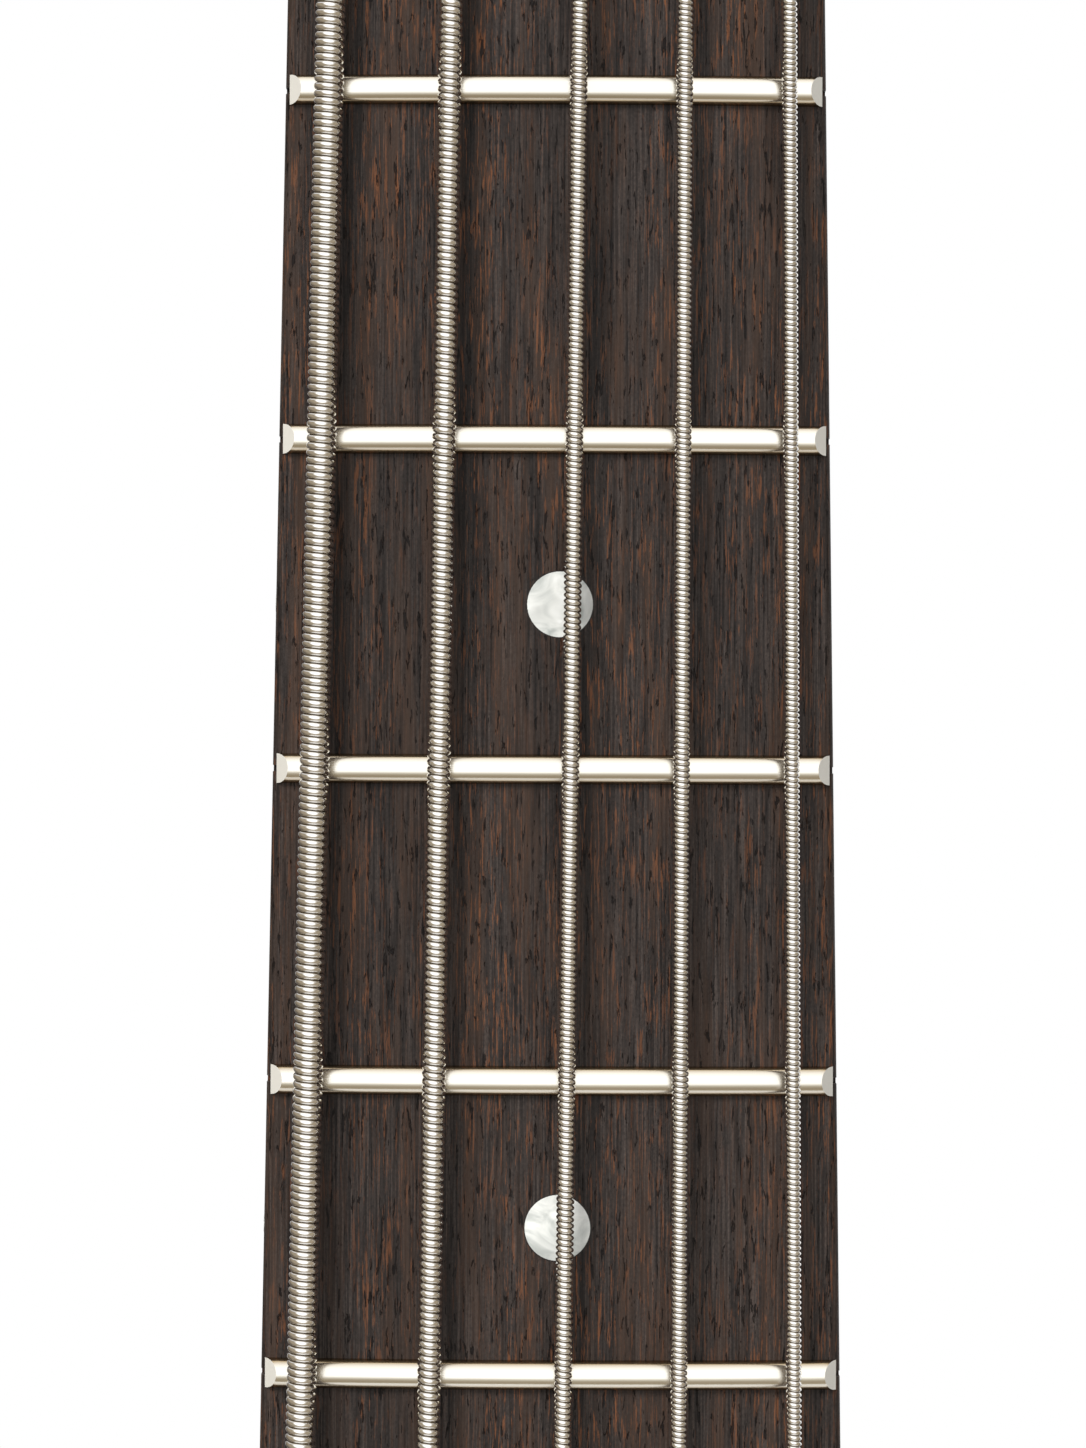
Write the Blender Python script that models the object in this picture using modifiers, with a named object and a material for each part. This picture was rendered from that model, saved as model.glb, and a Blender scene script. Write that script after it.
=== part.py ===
"""Five-string electric bass guitar with a bolt-on neck and open-gear tuning machines.

Everything is drawn in the instrument's own front view and then stood upright by one parent:
x runs to the treble side, v runs up the neck from the nut line, and w comes out towards the
player's audience, with w = 0 on the glue line between neck and fingerboard. Stood upright,
v becomes +Z and w becomes -Y. The headstock has a second parent, tilted back about the nut.
"""

import math

import bmesh
import bpy
from mathutils import Matrix, Vector

MM = 0.001

# Fit between pieces
SEAT = 0.3 * MM
FRET_SEAT = 0.1 * MM
OVERLAP = 1.0 * MM

# Scale and fingerboard
SCALE_LENGTH = 863.6 * MM
FRET_COUNT = 20
NUT_WIDTH = 49.8 * MM
WIDTH_AT_12TH = 62.8 * MM
BOARD_THICKNESS = 6.5 * MM
BOARD_OVERHANG = 8.4 * MM
CAMBER_RADIUS = 400.0 * MM
CAMBER_FLATS = 4
SLOT_OPENING = 12.0 * MM

# Frets
CROWN_WIDTH = 3.1 * MM
CROWN_HEIGHT = 1.3 * MM
CROWN_EDGE = 0.2 * MM
END_BEVEL = 1.25 * MM
END_INSET = 0.45 * MM
TANG_THICKNESS = 0.6 * MM
TANG_DEPTH = 1.7 * MM

# Neck
NECK_DEPTH_AT_NUT = 14.5 * MM
NECK_DEPTH_AT_12TH = 17.0 * MM
HEEL_DEPTH = 19.0 * MM
HEEL_LENGTH = 95.0 * MM
HEEL_RAMP = 42.0 * MM
NECK_SIDES = 12

# Nut
NUT_THICKNESS = 5.0 * MM
NUT_HEIGHT_OVER_BOARD = 3.0 * MM

# Headstock
HEAD_TILT = math.radians(10.0)
HEAD_THICKNESS = 14.5 * MM
HEAD_START = 6.0 * MM
HEAD_LENGTH = 188.0 * MM
HEAD_HALF_WIDTH = 46.0 * MM

# Strings: name, diameter, place at the nut, set-back of the saddle
STRINGS = (
    ("b", 3.12 * MM, -19.8 * MM, 6.0 * MM),
    ("e", 2.50 * MM, -8.45 * MM, 5.0 * MM),
    ("a", 1.90 * MM, 4.0 * MM, 4.0 * MM),
    ("d", 1.80 * MM, 13.3 * MM, 3.0 * MM),
    ("g", 1.66 * MM, 22.5 * MM, 2.0 * MM),
)
STRING_SPACING = 15.75 * MM
BRIDGE_OFFSET = -2.7 * MM
HEIGHT_AT_NUT = 0.4 * MM
HEIGHT_AT_BRIDGE = 4.0 * MM
BALL_DIAMETER = 5.6 * MM
BALL_LENGTH = 4.5 * MM
WRAPS = 2
WRAP_GAP = 0.5 * MM
LOOP_POINTS = 20

# Tuning machines, each named by its string with its side and its place up the headstock
TUNERS = {
    "b": (-1, 45.0 * MM),
    "e": (-1, 90.0 * MM),
    "a": (-1, 135.0 * MM),
    "g": (1, 65.0 * MM),
    "d": (1, 110.0 * MM),
}
POST_OFFSET = 30.5 * MM
POST_RADIUS = 5.0 * MM
POST_WAIST_RADIUS = 4.4 * MM
POST_HEIGHT = 18.0 * MM
FIRST_WRAP_HEIGHT = 5.0 * MM
SLOT_WIDTH = 3.2 * MM
SLOT_DEPTH = 3.4 * MM
BUSHING_WALL = 1.7 * MM
FLANGE_RADIUS = 8.8 * MM
FLANGE_THICKNESS = 1.4 * MM
PLATE_THICKNESS = 1.6 * MM
PLATE_HALF_WIDTH = 13.0 * MM
PLATE_ABOVE_POST = 13.0 * MM
PLATE_BELOW_WORM = 6.5 * MM
EAR_THICKNESS = 2.0 * MM

# Worm drive
GEAR_TEETH = 20
GEAR_PITCH_RADIUS = 9.0 * MM
GEAR_ADDENDUM = 0.75 * MM
GEAR_DEDENDUM = 1.1 * MM
GEAR_FACE = 4.0 * MM
TOOTH_ROOT_WIDTH = 1.75 * MM
TOOTH_TIP_WIDTH = 0.8 * MM
WORM_PITCH_RADIUS = 3.5 * MM
THREAD_TIP_RADIUS = 4.3 * MM
SHAFT_RADIUS = 2.45 * MM
THREAD_ROOT_WIDTH = 1.2 * MM
THREAD_TIP_WIDTH = 0.45 * MM
THREAD_TURNS = 2.25
THREAD_STEPS = 9
EAR_INNER = 6.6 * MM
COLLAR_RADIUS = 3.7 * MM
COLLAR_LENGTH = 1.8 * MM
KEY_REACH = 24.0 * MM
KEY_LENGTH = 23.0 * MM
KEY_WIDTH = 27.0 * MM
KEY_THICKNESS = 3.4 * MM

# Body
BODY_THICKNESS = 40.0 * MM
BOARD_OVER_BODY = 3.5 * MM
EDGE_RADIUS = 6.5 * MM
POCKET_WALL = 8.0 * MM
FOREARM_CONTOUR = (62.0 * MM, 150.0 * MM, 12.0 * MM)
FOREARM_SPOT = (-168.0 * MM, 82.0 * MM)
FOREARM_TURN = -14
RIB_CONTOUR = (66.0 * MM, 125.0 * MM, 14.0 * MM)
RIB_SPOT = (-150.0 * MM, 238.0 * MM)
RIB_TURN = 4
CUT_REACH = 60.0 * MM
CONTOUR_BOWL = 150.0 * MM
TAIL_BELOW_BRIDGE = 76.0 * MM

# Pickups
PICKUP_LENGTH = 101.6 * MM
PICKUP_WIDTH = 32.0 * MM
PICKUP_CORNER = 4.0 * MM
PICKUP_TOP = 6.7 * MM
PICKUP_DEPTH = 21.0 * MM
PICKUP_GAP = 0.4 * MM
PICKUP_CAVITY_DEPTH = 24.0 * MM
NECK_PICKUP_BELOW_BOARD = 62.0 * MM
BRIDGE_PICKUP_ABOVE_SADDLE = 78.0 * MM

# Bridge
PLATE_BASE = 3.0 * MM
BRIDGE_LENGTH = 58.0 * MM
BRIDGE_WIDTH = 88.0 * MM
FLANGE_BEHIND_SADDLE = 39.0 * MM
FLANGE_WALL = 3.0 * MM
FLANGE_HEIGHT = 13.0 * MM
RAIL_THICKNESS = 3.0 * MM
RAIL_HEIGHT = 9.0 * MM
SADDLE_WIDTH = 14.4 * MM
SADDLE_FRONT = 6.5 * MM
SADDLE_BACK = 7.5 * MM
SADDLE_LIFT = 1.3 * MM
SADDLE_GROOVE = 0.9 * MM
SADDLE_TRAVEL = 8.0 * MM
ADJUSTER_RADIUS = 1.25 * MM
ADJUSTER_HEAD_RADIUS = 1.9 * MM
ADJUSTER_HEAD_LENGTH = 1.8 * MM
ADJUSTER_HEIGHT = 2.3 * MM
GRUB_RADIUS = 1.3 * MM
GRUB_OFFSET = 4.9 * MM

# Controls, placed from the bridge line
KNOB_RADIUS = 9.0 * MM
KNOB_HEIGHT = 15.0 * MM
POT_SHAFT_RADIUS = 3.0 * MM
POT_SHAFT_LENGTH = 16.0 * MM
KNOBS = (
    ("knob_volume", 92.0 * MM, 74.0 * MM),
    ("knob_balance", 108.0 * MM, 40.0 * MM),
    ("knob_tone", 118.0 * MM, 3.0 * MM),
)
COVER_THICKNESS = 2.0 * MM
COVER_LEDGE = 6.0 * MM
CAVITY_ROOF = 7.0 * MM

# Output jack on the treble side of the lower bout
JACK_ABOVE_BRIDGE = -22.0 * MM
JACK_SEAT_X = 160.0 * MM
JACK_BORE_RADIUS = 3.3 * MM
JACK_BARREL_RADIUS = 6.0 * MM
JACK_BARREL_LENGTH = 24.0 * MM
JACK_FLANGE_RADIUS = 11.0 * MM
JACK_FLANGE_THICKNESS = 2.0 * MM
JACK_END_WALL = 2.0 * MM

# Neck plate and strap buttons
NECK_PLATE_WIDTH = 51.0 * MM
NECK_PLATE_LENGTH = 64.0 * MM
NECK_PLATE_THICKNESS = 2.0 * MM
BUTTON_RADIUS = 8.0 * MM
BUTTON_WAIST = 4.2 * MM
BUTTON_HEIGHT = 13.0 * MM
HORN_BUTTON = (-118.0 * MM, 144.6 * MM)

# Worked out from the sizes above
BOARD_BOTTOM = SEAT
BOARD_TOP = BOARD_BOTTOM + BOARD_THICKNESS
FRET_TOP = BOARD_TOP + FRET_SEAT + CROWN_HEIGHT
STRING_AT_NUT = FRET_TOP + HEIGHT_AT_NUT
STRING_AT_BRIDGE = FRET_TOP + HEIGHT_AT_BRIDGE
BODY_TOP = BOARD_BOTTOM - BOARD_OVER_BODY
BODY_BACK = BODY_TOP - BODY_THICKNESS
POCKET_FLOOR = -HEEL_DEPTH - SEAT
BRIDGE_LINE = -SCALE_LENGTH
NUT_LINE = SEAT
NUT_CREST = NUT_LINE + 1.0 * MM
WORM_DISTANCE = GEAR_PITCH_RADIUS + WORM_PITCH_RADIUS
WORM_LEAD = 2 * math.pi * GEAR_PITCH_RADIUS / GEAR_TEETH
PLATE_FRONT = -HEAD_THICKNESS - SEAT
PLATE_BACK = PLATE_FRONT - PLATE_THICKNESS
GEAR_CENTRE = PLATE_BACK - THREAD_TIP_RADIUS - 0.5 * MM
BUSHING_BORE = POST_RADIUS + SEAT
BUSHING_RADIUS = BUSHING_BORE + BUSHING_WALL
BRIDGE_BASE_TOP = BODY_TOP + SEAT + PLATE_BASE
ADJUSTER_LINE = BRIDGE_BASE_TOP + ADJUSTER_HEIGHT
THINNEST_STRING = min(row[1] for row in STRINGS)
NOTCH_LINE = ADJUSTER_LINE + ADJUSTER_HEAD_RADIUS + SEAT + (BALL_DIAMETER - THINNEST_STRING) / 2


def fret_line(number):
    """Place of a fret in equal temperament, measured from the nut."""
    return -SCALE_LENGTH * (1 - 2 ** (-number / 12))


BOARD_END = fret_line(FRET_COUNT) - BOARD_OVERHANG
TWELFTH = fret_line(12)


def board_half(v):
    return (NUT_WIDTH + (WIDTH_AT_12TH - NUT_WIDTH) * v / TWELFTH) / 2


def camber_drop(x):
    return x * x / (2 * CAMBER_RADIUS)


def board_surface(x, v):
    """Top of the fingerboard, which is made of a few flats that follow the camber."""
    step = 2 * board_half(v) / CAMBER_FLATS
    low = min(int((x + board_half(v)) / step), CAMBER_FLATS - 1)
    left = low * step - board_half(v)
    share = (x - left) / step
    drop = camber_drop(left) * (1 - share) + camber_drop(left + step) * share
    return BOARD_TOP - drop


def bridge_x(index):
    return BRIDGE_OFFSET + (index - (len(STRINGS) - 1) / 2) * STRING_SPACING


# Scene and object helpers

for old in list(bpy.data.objects):
    bpy.data.objects.remove(old)

PARTS = bpy.data.collections.new("electric_bass_guitar")
CUTTERS = bpy.data.collections.new("cutters")
bpy.context.scene.collection.children.link(PARTS)
bpy.context.scene.collection.children.link(CUTTERS)
CUTTERS.hide_render = True


def material(name, color, roughness, metallic=0.0):
    made = bpy.data.materials.new(name)
    made.use_nodes = True
    shader = made.node_tree.nodes["Principled BSDF"]
    shader.inputs["Base Color"].default_value = (*color, 1.0)
    shader.inputs["Roughness"].default_value = roughness
    shader.inputs["Metallic"].default_value = metallic
    return made


MAPLE = material("satin_maple", (0.62, 0.42, 0.22), 0.35)
DARK_WOOD = material("dark_fingerboard_wood", (0.055, 0.038, 0.030), 0.45)
NICKEL_SILVER = material("nickel_silver", (0.72, 0.68, 0.58), 0.25, 1.0)
STEEL_STRING = material("round_wound_steel", (0.66, 0.65, 0.63), 0.28, 1.0)
BONE = material("bone", (0.85, 0.80, 0.68), 0.4)
CHROME = material("polished_hardware", (0.74, 0.74, 0.75), 0.15, 1.0)
LACQUER = material("body_lacquer", (0.105, 0.052, 0.027), 0.3)
BLACK_PLASTIC = material("black_plastic", (0.02, 0.02, 0.022), 0.38)


def frame_empty(name, v, tilt):
    """A parent whose local X, Y and Z are x, v and w of a plane leaning back by tilt."""
    empty = bpy.data.objects.new(name, None)
    PARTS.objects.link(empty)
    empty.location = (0, 0, v)
    empty.rotation_euler = (math.pi / 2 - tilt, 0, 0)
    return empty


UPRIGHT = frame_empty("instrument_plane", 0.0, 0.0)
HEAD = frame_empty("headstock_plane", HEAD_START, HEAD_TILT)


def place(obj, parent, spot=(0, 0, 0), turn=None):
    obj.parent = parent
    base = turn.to_4x4() if turn else Matrix.Identity(4)
    obj.matrix_basis = Matrix.Translation(Vector(spot)) @ base
    return obj


def smooth(mesh, angle=35):
    mesh.shade_smooth()
    mesh.set_sharp_from_angle(angle=math.radians(angle))


def add(name, mesh, finish, parent=UPRIGHT, spot=(0, 0, 0), turn=None):
    """A new object: a part where it has a finish, and otherwise a cutter."""
    obj = bpy.data.objects.new(name, mesh)
    (PARTS if finish else CUTTERS).objects.link(obj)
    if finish:
        mesh.materials.append(finish)
        smooth(mesh)
    else:
        obj.hide_render = True
        obj.display_type = "WIRE"
    return place(obj, parent, spot, turn)


def boolean(target, tool, operation="DIFFERENCE"):
    change = target.modifiers.new(tool.name, "BOOLEAN")
    change.operation = operation
    change.solver = "EXACT"
    change.object = tool
    return target


def from_bmesh(name, shape):
    bmesh.ops.recalc_face_normals(shape, faces=shape.faces)
    mesh = bpy.data.meshes.new(name)
    shape.to_mesh(mesh)
    shape.free()
    return mesh


def loft(name, rings):
    """A closed solid through rings of equal point counts, with its two ends filled."""
    shape = bmesh.new()
    rows = [[shape.verts.new(point) for point in ring] for ring in rings]
    count = len(rows[0])
    for lower, upper in zip(rows, rows[1:]):
        for i in range(count):
            j = (i + 1) % count
            shape.faces.new((lower[i], lower[j], upper[j], upper[i]))
    shape.faces.new(rows[0])
    shape.faces.new(rows[-1])
    return from_bmesh(name, shape)


def boxes(name, spans):
    """One mesh of boxes, each given by its lowest and highest corner."""
    shape = bmesh.new()
    for low, high in spans:
        low, high = Vector(low), Vector(high)
        size = Matrix.Diagonal((*(high - low), 1.0))
        spot = Matrix.Translation((low + high) / 2)
        bmesh.ops.create_cube(shape, size=1.0, matrix=spot @ size)
    return from_bmesh(name, shape)


AXIS_TURNS = {
    "x": Matrix.Rotation(math.pi / 2, 3, "Y"),
    "v": Matrix.Rotation(-math.pi / 2, 3, "X"),
    "w": Matrix.Identity(3),
}


def rods(name, ends, radius, sides, axis):
    """One mesh of round rods along an axis, each given by its middle and its length."""
    shape = bmesh.new()
    for middle, length in ends:
        spot = Matrix.Translation(Vector(middle)) @ AXIS_TURNS[axis].to_4x4()
        bmesh.ops.create_cone(
            shape,
            cap_ends=True,
            segments=sides,
            radius1=radius,
            radius2=radius,
            depth=length,
            matrix=spot,
        )
    return from_bmesh(name, shape)


def turned(name, profile, sides, finish, parent=UPRIGHT, spot=(0, 0, 0), turn=None):
    """A turned solid from (radius, height) points that run down its outer side."""
    mesh = bpy.data.meshes.new(name)
    points = [(radius, 0.0, height) for radius, height in profile]
    mesh.from_pydata(points, [(i, i + 1) for i in range(len(points) - 1)], [])
    obj = add(name, mesh, finish, parent, spot, turn)
    screw = obj.modifiers.new("turning", "SCREW")
    screw.steps = sides
    screw.render_steps = sides
    screw.use_merge_vertices = True
    screw.merge_threshold = 0.00001
    screw.use_smooth_shade = True
    return obj


def outline(name, points, thickness, parent=UPRIGHT, spot=(0, 0, 0), rounding=0, corners=()):
    """The mesh of a flat outline; with a rounding it curves smoothly but for its corners."""
    curve = bpy.data.curves.new(name, "CURVE")
    curve.dimensions = "2D"
    curve.fill_mode = "BOTH"
    curve.extrude = thickness / 2
    if rounding:
        curve.resolution_u = rounding
        spline = curve.splines.new("BEZIER")
        spline.bezier_points.add(len(points) - 1)
        for index, (knot, (x, v)) in enumerate(zip(spline.bezier_points, points)):
            knot.co = (x, v, 0)
            handle = "VECTOR" if index in corners else "AUTO"
            knot.handle_left_type = handle
            knot.handle_right_type = handle
    else:
        spline = curve.splines.new("POLY")
        spline.points.add(len(points) - 1)
        for knot, (x, v) in zip(spline.points, points):
            knot.co = (x, v, 0, 1)
    spline.use_cyclic_u = True
    return as_mesh(name, curve, parent, spot)


def as_mesh(name, curve, parent, spot):
    """The curve's own mesh with its caps welded, as the modifiers need it."""
    guide = bpy.data.objects.new(name + "_guide", curve)
    CUTTERS.objects.link(guide)
    place(guide, parent, spot)
    bpy.context.view_layer.update()
    graph = bpy.context.evaluated_depsgraph_get()
    mesh = bpy.data.meshes.new_from_object(guide.evaluated_get(graph))
    bpy.data.objects.remove(guide)
    shape = bmesh.new()
    shape.from_mesh(mesh)
    bmesh.ops.remove_doubles(shape, verts=shape.verts, dist=0.00001)
    bmesh.ops.dissolve_limit(shape, angle_limit=0.01, verts=shape.verts, edges=shape.edges)
    bpy.data.meshes.remove(mesh)
    return from_bmesh(name, shape)


def rounded_rectangle(width, height, radius, steps=4):
    points = []
    for quarter in range(4):
        middle = math.pi / 2 * quarter + math.pi / 4
        corner_x = math.copysign(width / 2 - radius, math.cos(middle))
        corner_y = math.copysign(height / 2 - radius, math.sin(middle))
        for i in range(steps + 1):
            angle = math.pi / 2 * (quarter + i / steps)
            x = corner_x + radius * math.cos(angle)
            y = corner_y + radius * math.sin(angle)
            points.append((x, y))
    return points


def bevel(obj, width, segments, angle=50):
    edge = obj.modifiers.new("rounded edges", "BEVEL")
    edge.width = width
    edge.segments = segments
    edge.use_clamp_overlap = False
    edge.limit_method = "ANGLE"
    edge.angle_limit = math.radians(angle)
    return obj


# Fingerboard, frets and nut

def make_fingerboard():
    rings = []
    for v in (0.0, BOARD_END):
        half = board_half(v)
        ring = [(half, v, BOARD_BOTTOM)]
        for i in range(CAMBER_FLATS + 1):
            x = half - 2 * half * i / CAMBER_FLATS
            ring.append((x, v, board_surface(x, v)))
        ring.append((-half, v, BOARD_BOTTOM))
        rings.append(ring)
    board = add("fingerboard", loft("fingerboard", rings), DARK_WOOD)
    half_slot = TANG_THICKNESS / 2 + SEAT
    floor = BOARD_TOP - camber_drop(board_half(BOARD_END)) - TANG_DEPTH - SEAT
    reach = board_half(BOARD_END) + OVERLAP
    spans = []
    for number in range(1, FRET_COUNT + 1):
        v = fret_line(number)
        spans.append(((-reach, v - half_slot, floor), (reach, v + half_slot, BOARD_TOP + OVERLAP)))
    boolean(board, add("fret_slots", boxes("fret_slots", spans), None))


def fret_ring(x, v, height):
    """Cross-section of fret wire at one place: a low arch on a thin tang."""
    seat = board_surface(x, v) + FRET_SEAT
    half = CROWN_WIDTH / 2
    tang = TANG_THICKNESS / 2
    return (
        (x, v + tang, seat - TANG_DEPTH),
        (x, v + tang, seat),
        (x, v + half, seat),
        (x, v + half * 0.72, seat + height * 0.62),
        (x, v, seat + height),
        (x, v - half * 0.72, seat + height * 0.62),
        (x, v - half, seat),
        (x, v - tang, seat),
        (x, v - tang, seat - TANG_DEPTH),
    )


def make_frets():
    for number in range(1, FRET_COUNT + 1):
        v = fret_line(number)
        end = board_half(v) - END_INSET
        full = end - END_BEVEL
        flat = 2 * board_half(v) / CAMBER_FLATS
        joints = [i * flat - board_half(v) for i in range(1, CAMBER_FLATS)]
        rings = [fret_ring(-end, v, CROWN_EDGE), fret_ring(-full, v, CROWN_HEIGHT)]
        rings += [fret_ring(x, v, CROWN_HEIGHT) for x in joints]
        rings += [fret_ring(full, v, CROWN_HEIGHT), fret_ring(end, v, CROWN_EDGE)]
        name = f"fret_{number:02d}"
        add(name, loft(name, rings), NICKEL_SILVER)


def string_bottom(x, at_bridge):
    return (STRING_AT_BRIDGE if at_bridge else STRING_AT_NUT) - camber_drop(x)


def make_nut():
    half = NUT_WIDTH / 2
    top = BOARD_TOP + NUT_HEIGHT_OVER_BOARD
    back = NUT_LINE + NUT_THICKNESS
    rings = []
    for v, lower in ((NUT_LINE, 0.0), (back, 1.6 * MM)):
        ring = [(half, v, BOARD_BOTTOM)]
        for i in range(CAMBER_FLATS + 1):
            x = half - NUT_WIDTH * i / CAMBER_FLATS
            ring.append((x, v, top - lower - camber_drop(x)))
        ring.append((-half, v, BOARD_BOTTOM))
        rings.append(ring)
    nut = add("nut", loft("nut", rings), BONE)
    for name, diameter, x, _ in STRINGS:
        path = string_path(name)
        crest = path.index(Vector((x, NUT_CREST, string_bottom(x, False) + diameter / 2)))
        slot = loft(f"nut_slot_{name}", slot_rings(path[crest - 1 : crest + 2], diameter))
        boolean(nut, add(f"nut_slot_{name}", slot, None))


def slot_rings(points, diameter):
    """An open-topped round slot round a string's centre line, SEAT wider than the string."""
    radius = diameter / 2 + SEAT
    rings = []
    for i, point in enumerate(points):
        before = points[max(i - 1, 0)]
        after = points[min(i + 1, len(points) - 1)]
        along = (after - before).normalized()
        side = along.cross(Vector((0, 0, 1))).normalized()
        up = side.cross(along)
        ring = [point + side * radius + up * SLOT_OPENING]
        for step in range(7):
            angle = math.pi * step / 6
            ring.append(point + side * radius * math.cos(angle) - up * radius * math.sin(angle))
        ring.append(point - side * radius + up * SLOT_OPENING)
        rings.append(ring)
    return rings


# Neck with headstock and heel

def neck_ring(v, half, front, depth, squareness):
    """Flat front, and a back that goes from a round C to a square heel with squareness."""
    ring = []
    for i in range(NECK_SIDES + 1):
        angle = math.pi * i / NECK_SIDES
        across, down = math.cos(angle), math.sin(angle)
        x = half * math.copysign(abs(across) ** (2 / squareness), across)
        w = front - depth * down ** (2 / squareness)
        ring.append((x, v, w))
    return ring


def neck_depth(v):
    return NECK_DEPTH_AT_NUT + (NECK_DEPTH_AT_12TH - NECK_DEPTH_AT_NUT) * v / TWELFTH


def head_front(v):
    return -max(0.0, v - HEAD_START) * math.tan(HEAD_TILT)


def make_neck():
    heel_top = BOARD_END + HEEL_LENGTH
    ramp_top = heel_top + HEEL_RAMP
    ramp_middle = (heel_top + ramp_top) / 2
    middle_depth = (neck_depth(ramp_top) + HEEL_DEPTH) / 2
    rings = [
        neck_ring(BOARD_END, board_half(BOARD_END), 0, HEEL_DEPTH, 9.0),
        neck_ring(heel_top, board_half(heel_top), 0, HEEL_DEPTH, 9.0),
        neck_ring(heel_top + 0.1 * HEEL_RAMP, board_half(heel_top), 0, HEEL_DEPTH, 6.0),
        neck_ring(ramp_middle, board_half(ramp_middle), 0, middle_depth, 2.9),
        neck_ring(ramp_top, board_half(ramp_top), 0, neck_depth(ramp_top), 2.25),
        neck_ring(TWELFTH, board_half(TWELFTH), 0, neck_depth(TWELFTH), 2.2),
        neck_ring(fret_line(5), board_half(fret_line(5)), 0, neck_depth(fret_line(5)), 2.15),
        neck_ring(0, board_half(0), 0, NECK_DEPTH_AT_NUT, 2.1),
        neck_ring(HEAD_START, board_half(0), 0, NECK_DEPTH_AT_NUT + 0.4 * MM, 2.2),
    ]
    slab_depth = HEAD_THICKNESS / math.cos(HEAD_TILT)
    for beyond, proud, wider, deeper, squareness in (
        (1.5 * MM, 0.15 * MM, 0.3 * MM, 0.4 * MM, 2.3),
        (8 * MM, 0.15 * MM, 2.4 * MM, 0.7 * MM, 2.5),
        (15 * MM, 0.15 * MM, 5.0 * MM, 0.2 * MM, 2.9),
        (24 * MM, -OVERLAP, 8.0 * MM, -1.5 * OVERLAP, 3.6),
        (36 * MM, -OVERLAP, 11.0 * MM, -2.5 * OVERLAP, 4.5),
    ):
        v = HEAD_START + beyond
        half = board_half(0) + wider
        rings.append(neck_ring(v, half, head_front(v) + proud, slab_depth + deeper, squareness))
    neck = add("neck", loft("neck", rings), MAPLE)

    edge = HEAD_HALF_WIDTH
    top = HEAD_LENGTH
    points = [
        (-9 * MM, 4 * MM),
        (-22 * MM, 8 * MM),
        (-edge + 14 * MM, 17 * MM),
        (-edge + 6.5 * MM, 28 * MM),
        (-edge, 44 * MM),
        (-edge - 1 * MM, 90 * MM),
        (-edge + 1 * MM, 135 * MM),
        (-edge + 8 * MM, top - 18 * MM),
        (-edge + 26 * MM, top - 3 * MM),
        (0, top - 7 * MM),
        (edge - 26 * MM, top - 14 * MM),
        (edge - 6 * MM, top - 30 * MM),
        (edge, 118 * MM),
        (edge + 1 * MM, 72 * MM),
        (edge - 3 * MM, 38 * MM),
        (edge - 13 * MM, 18 * MM),
        (22 * MM, 8 * MM),
        (9 * MM, 4 * MM),
    ]
    corners = (0, len(points) - 1)
    middle = (0, 0, -HEAD_THICKNESS / 2)
    slab_mesh = outline("headstock", points, HEAD_THICKNESS, HEAD, middle, 3, corners)
    slab = add("headstock_slab", slab_mesh, None, HEAD, middle)
    bevel(slab, 1.2 * MM, 1, 60)
    boolean(neck, slab, "UNION")
    spots = [
        ((side * POST_OFFSET, up, -HEAD_THICKNESS / 2), 3 * HEAD_THICKNESS)
        for side, up in TUNERS.values()
    ]
    holes = rods("tuner_holes", spots, BUSHING_RADIUS + SEAT, 12, "w")
    boolean(neck, add("tuner_holes", holes, None, HEAD))


# Tuning machines

def gear_ring(height, turn):
    """The toothed outline of the worm wheel, turned a little so that its teeth lean."""
    root = GEAR_PITCH_RADIUS - GEAR_DEDENDUM
    tip = GEAR_PITCH_RADIUS + GEAR_ADDENDUM
    half_root = TOOTH_ROOT_WIDTH / 2 / root
    half_tip = TOOTH_TIP_WIDTH / 2 / tip
    ring = []
    for tooth in range(GEAR_TEETH):
        middle = -math.pi / 2 + 2 * math.pi * (tooth + 0.5) / GEAR_TEETH + turn
        for radius, offset in ((root, -half_root), (tip, -half_tip), (tip, half_tip), (root, half_root)):
            angle = middle + offset
            ring.append((radius * math.cos(angle), radius * math.sin(angle), height))
    return ring


def make_post(name, spot):
    """String post, its shaft through the bushing, and the worm wheel with its screw."""
    wraps_top = FIRST_WRAP_HEIGHT + (WRAPS + 0.4) * (STRINGS[0][1] + WRAP_GAP) + STRINGS[0][1] / 2
    gear_back = GEAR_CENTRE - GEAR_FACE / 2
    profile = [
        (0, POST_HEIGHT),
        (POST_RADIUS - 1.2 * MM, POST_HEIGHT),
        (POST_RADIUS, POST_HEIGHT - 1.0 * MM),
        (POST_RADIUS, wraps_top + 0.6 * MM),
        (POST_WAIST_RADIUS, wraps_top),
        (POST_WAIST_RADIUS, FLANGE_THICKNESS + 1.6 * MM),
        (POST_RADIUS, FLANGE_THICKNESS + 1.0 * MM),
        (POST_RADIUS, gear_back - 0.6 * MM),
        (3.4 * MM, gear_back - 0.6 * MM),
        (2.6 * MM, gear_back - 2.0 * MM),
        (0, gear_back - 2.2 * MM),
    ]
    post = turned(f"tuner_post_{name}", profile, 12, CHROME, HEAD, spot)
    lean = GEAR_FACE / 2 * WORM_LEAD / (2 * math.pi * WORM_PITCH_RADIUS) / GEAR_PITCH_RADIUS
    rings = [gear_ring(GEAR_CENTRE + side * GEAR_FACE / 2, side * lean) for side in (-1, 1)]
    wheel = add(f"worm_wheel_{name}", loft(f"worm_wheel_{name}", rings), None, HEAD, spot)
    boolean(post, wheel, "UNION")
    slot = boxes(
        f"post_slot_{name}",
        [
            (
                (-SLOT_WIDTH / 2, -2 * POST_RADIUS, POST_HEIGHT - SLOT_DEPTH),
                (SLOT_WIDTH / 2, 2 * POST_RADIUS, POST_HEIGHT + OVERLAP),
            )
        ],
    )
    boolean(post, add(f"post_slot_{name}", slot, None, HEAD, spot))


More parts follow.
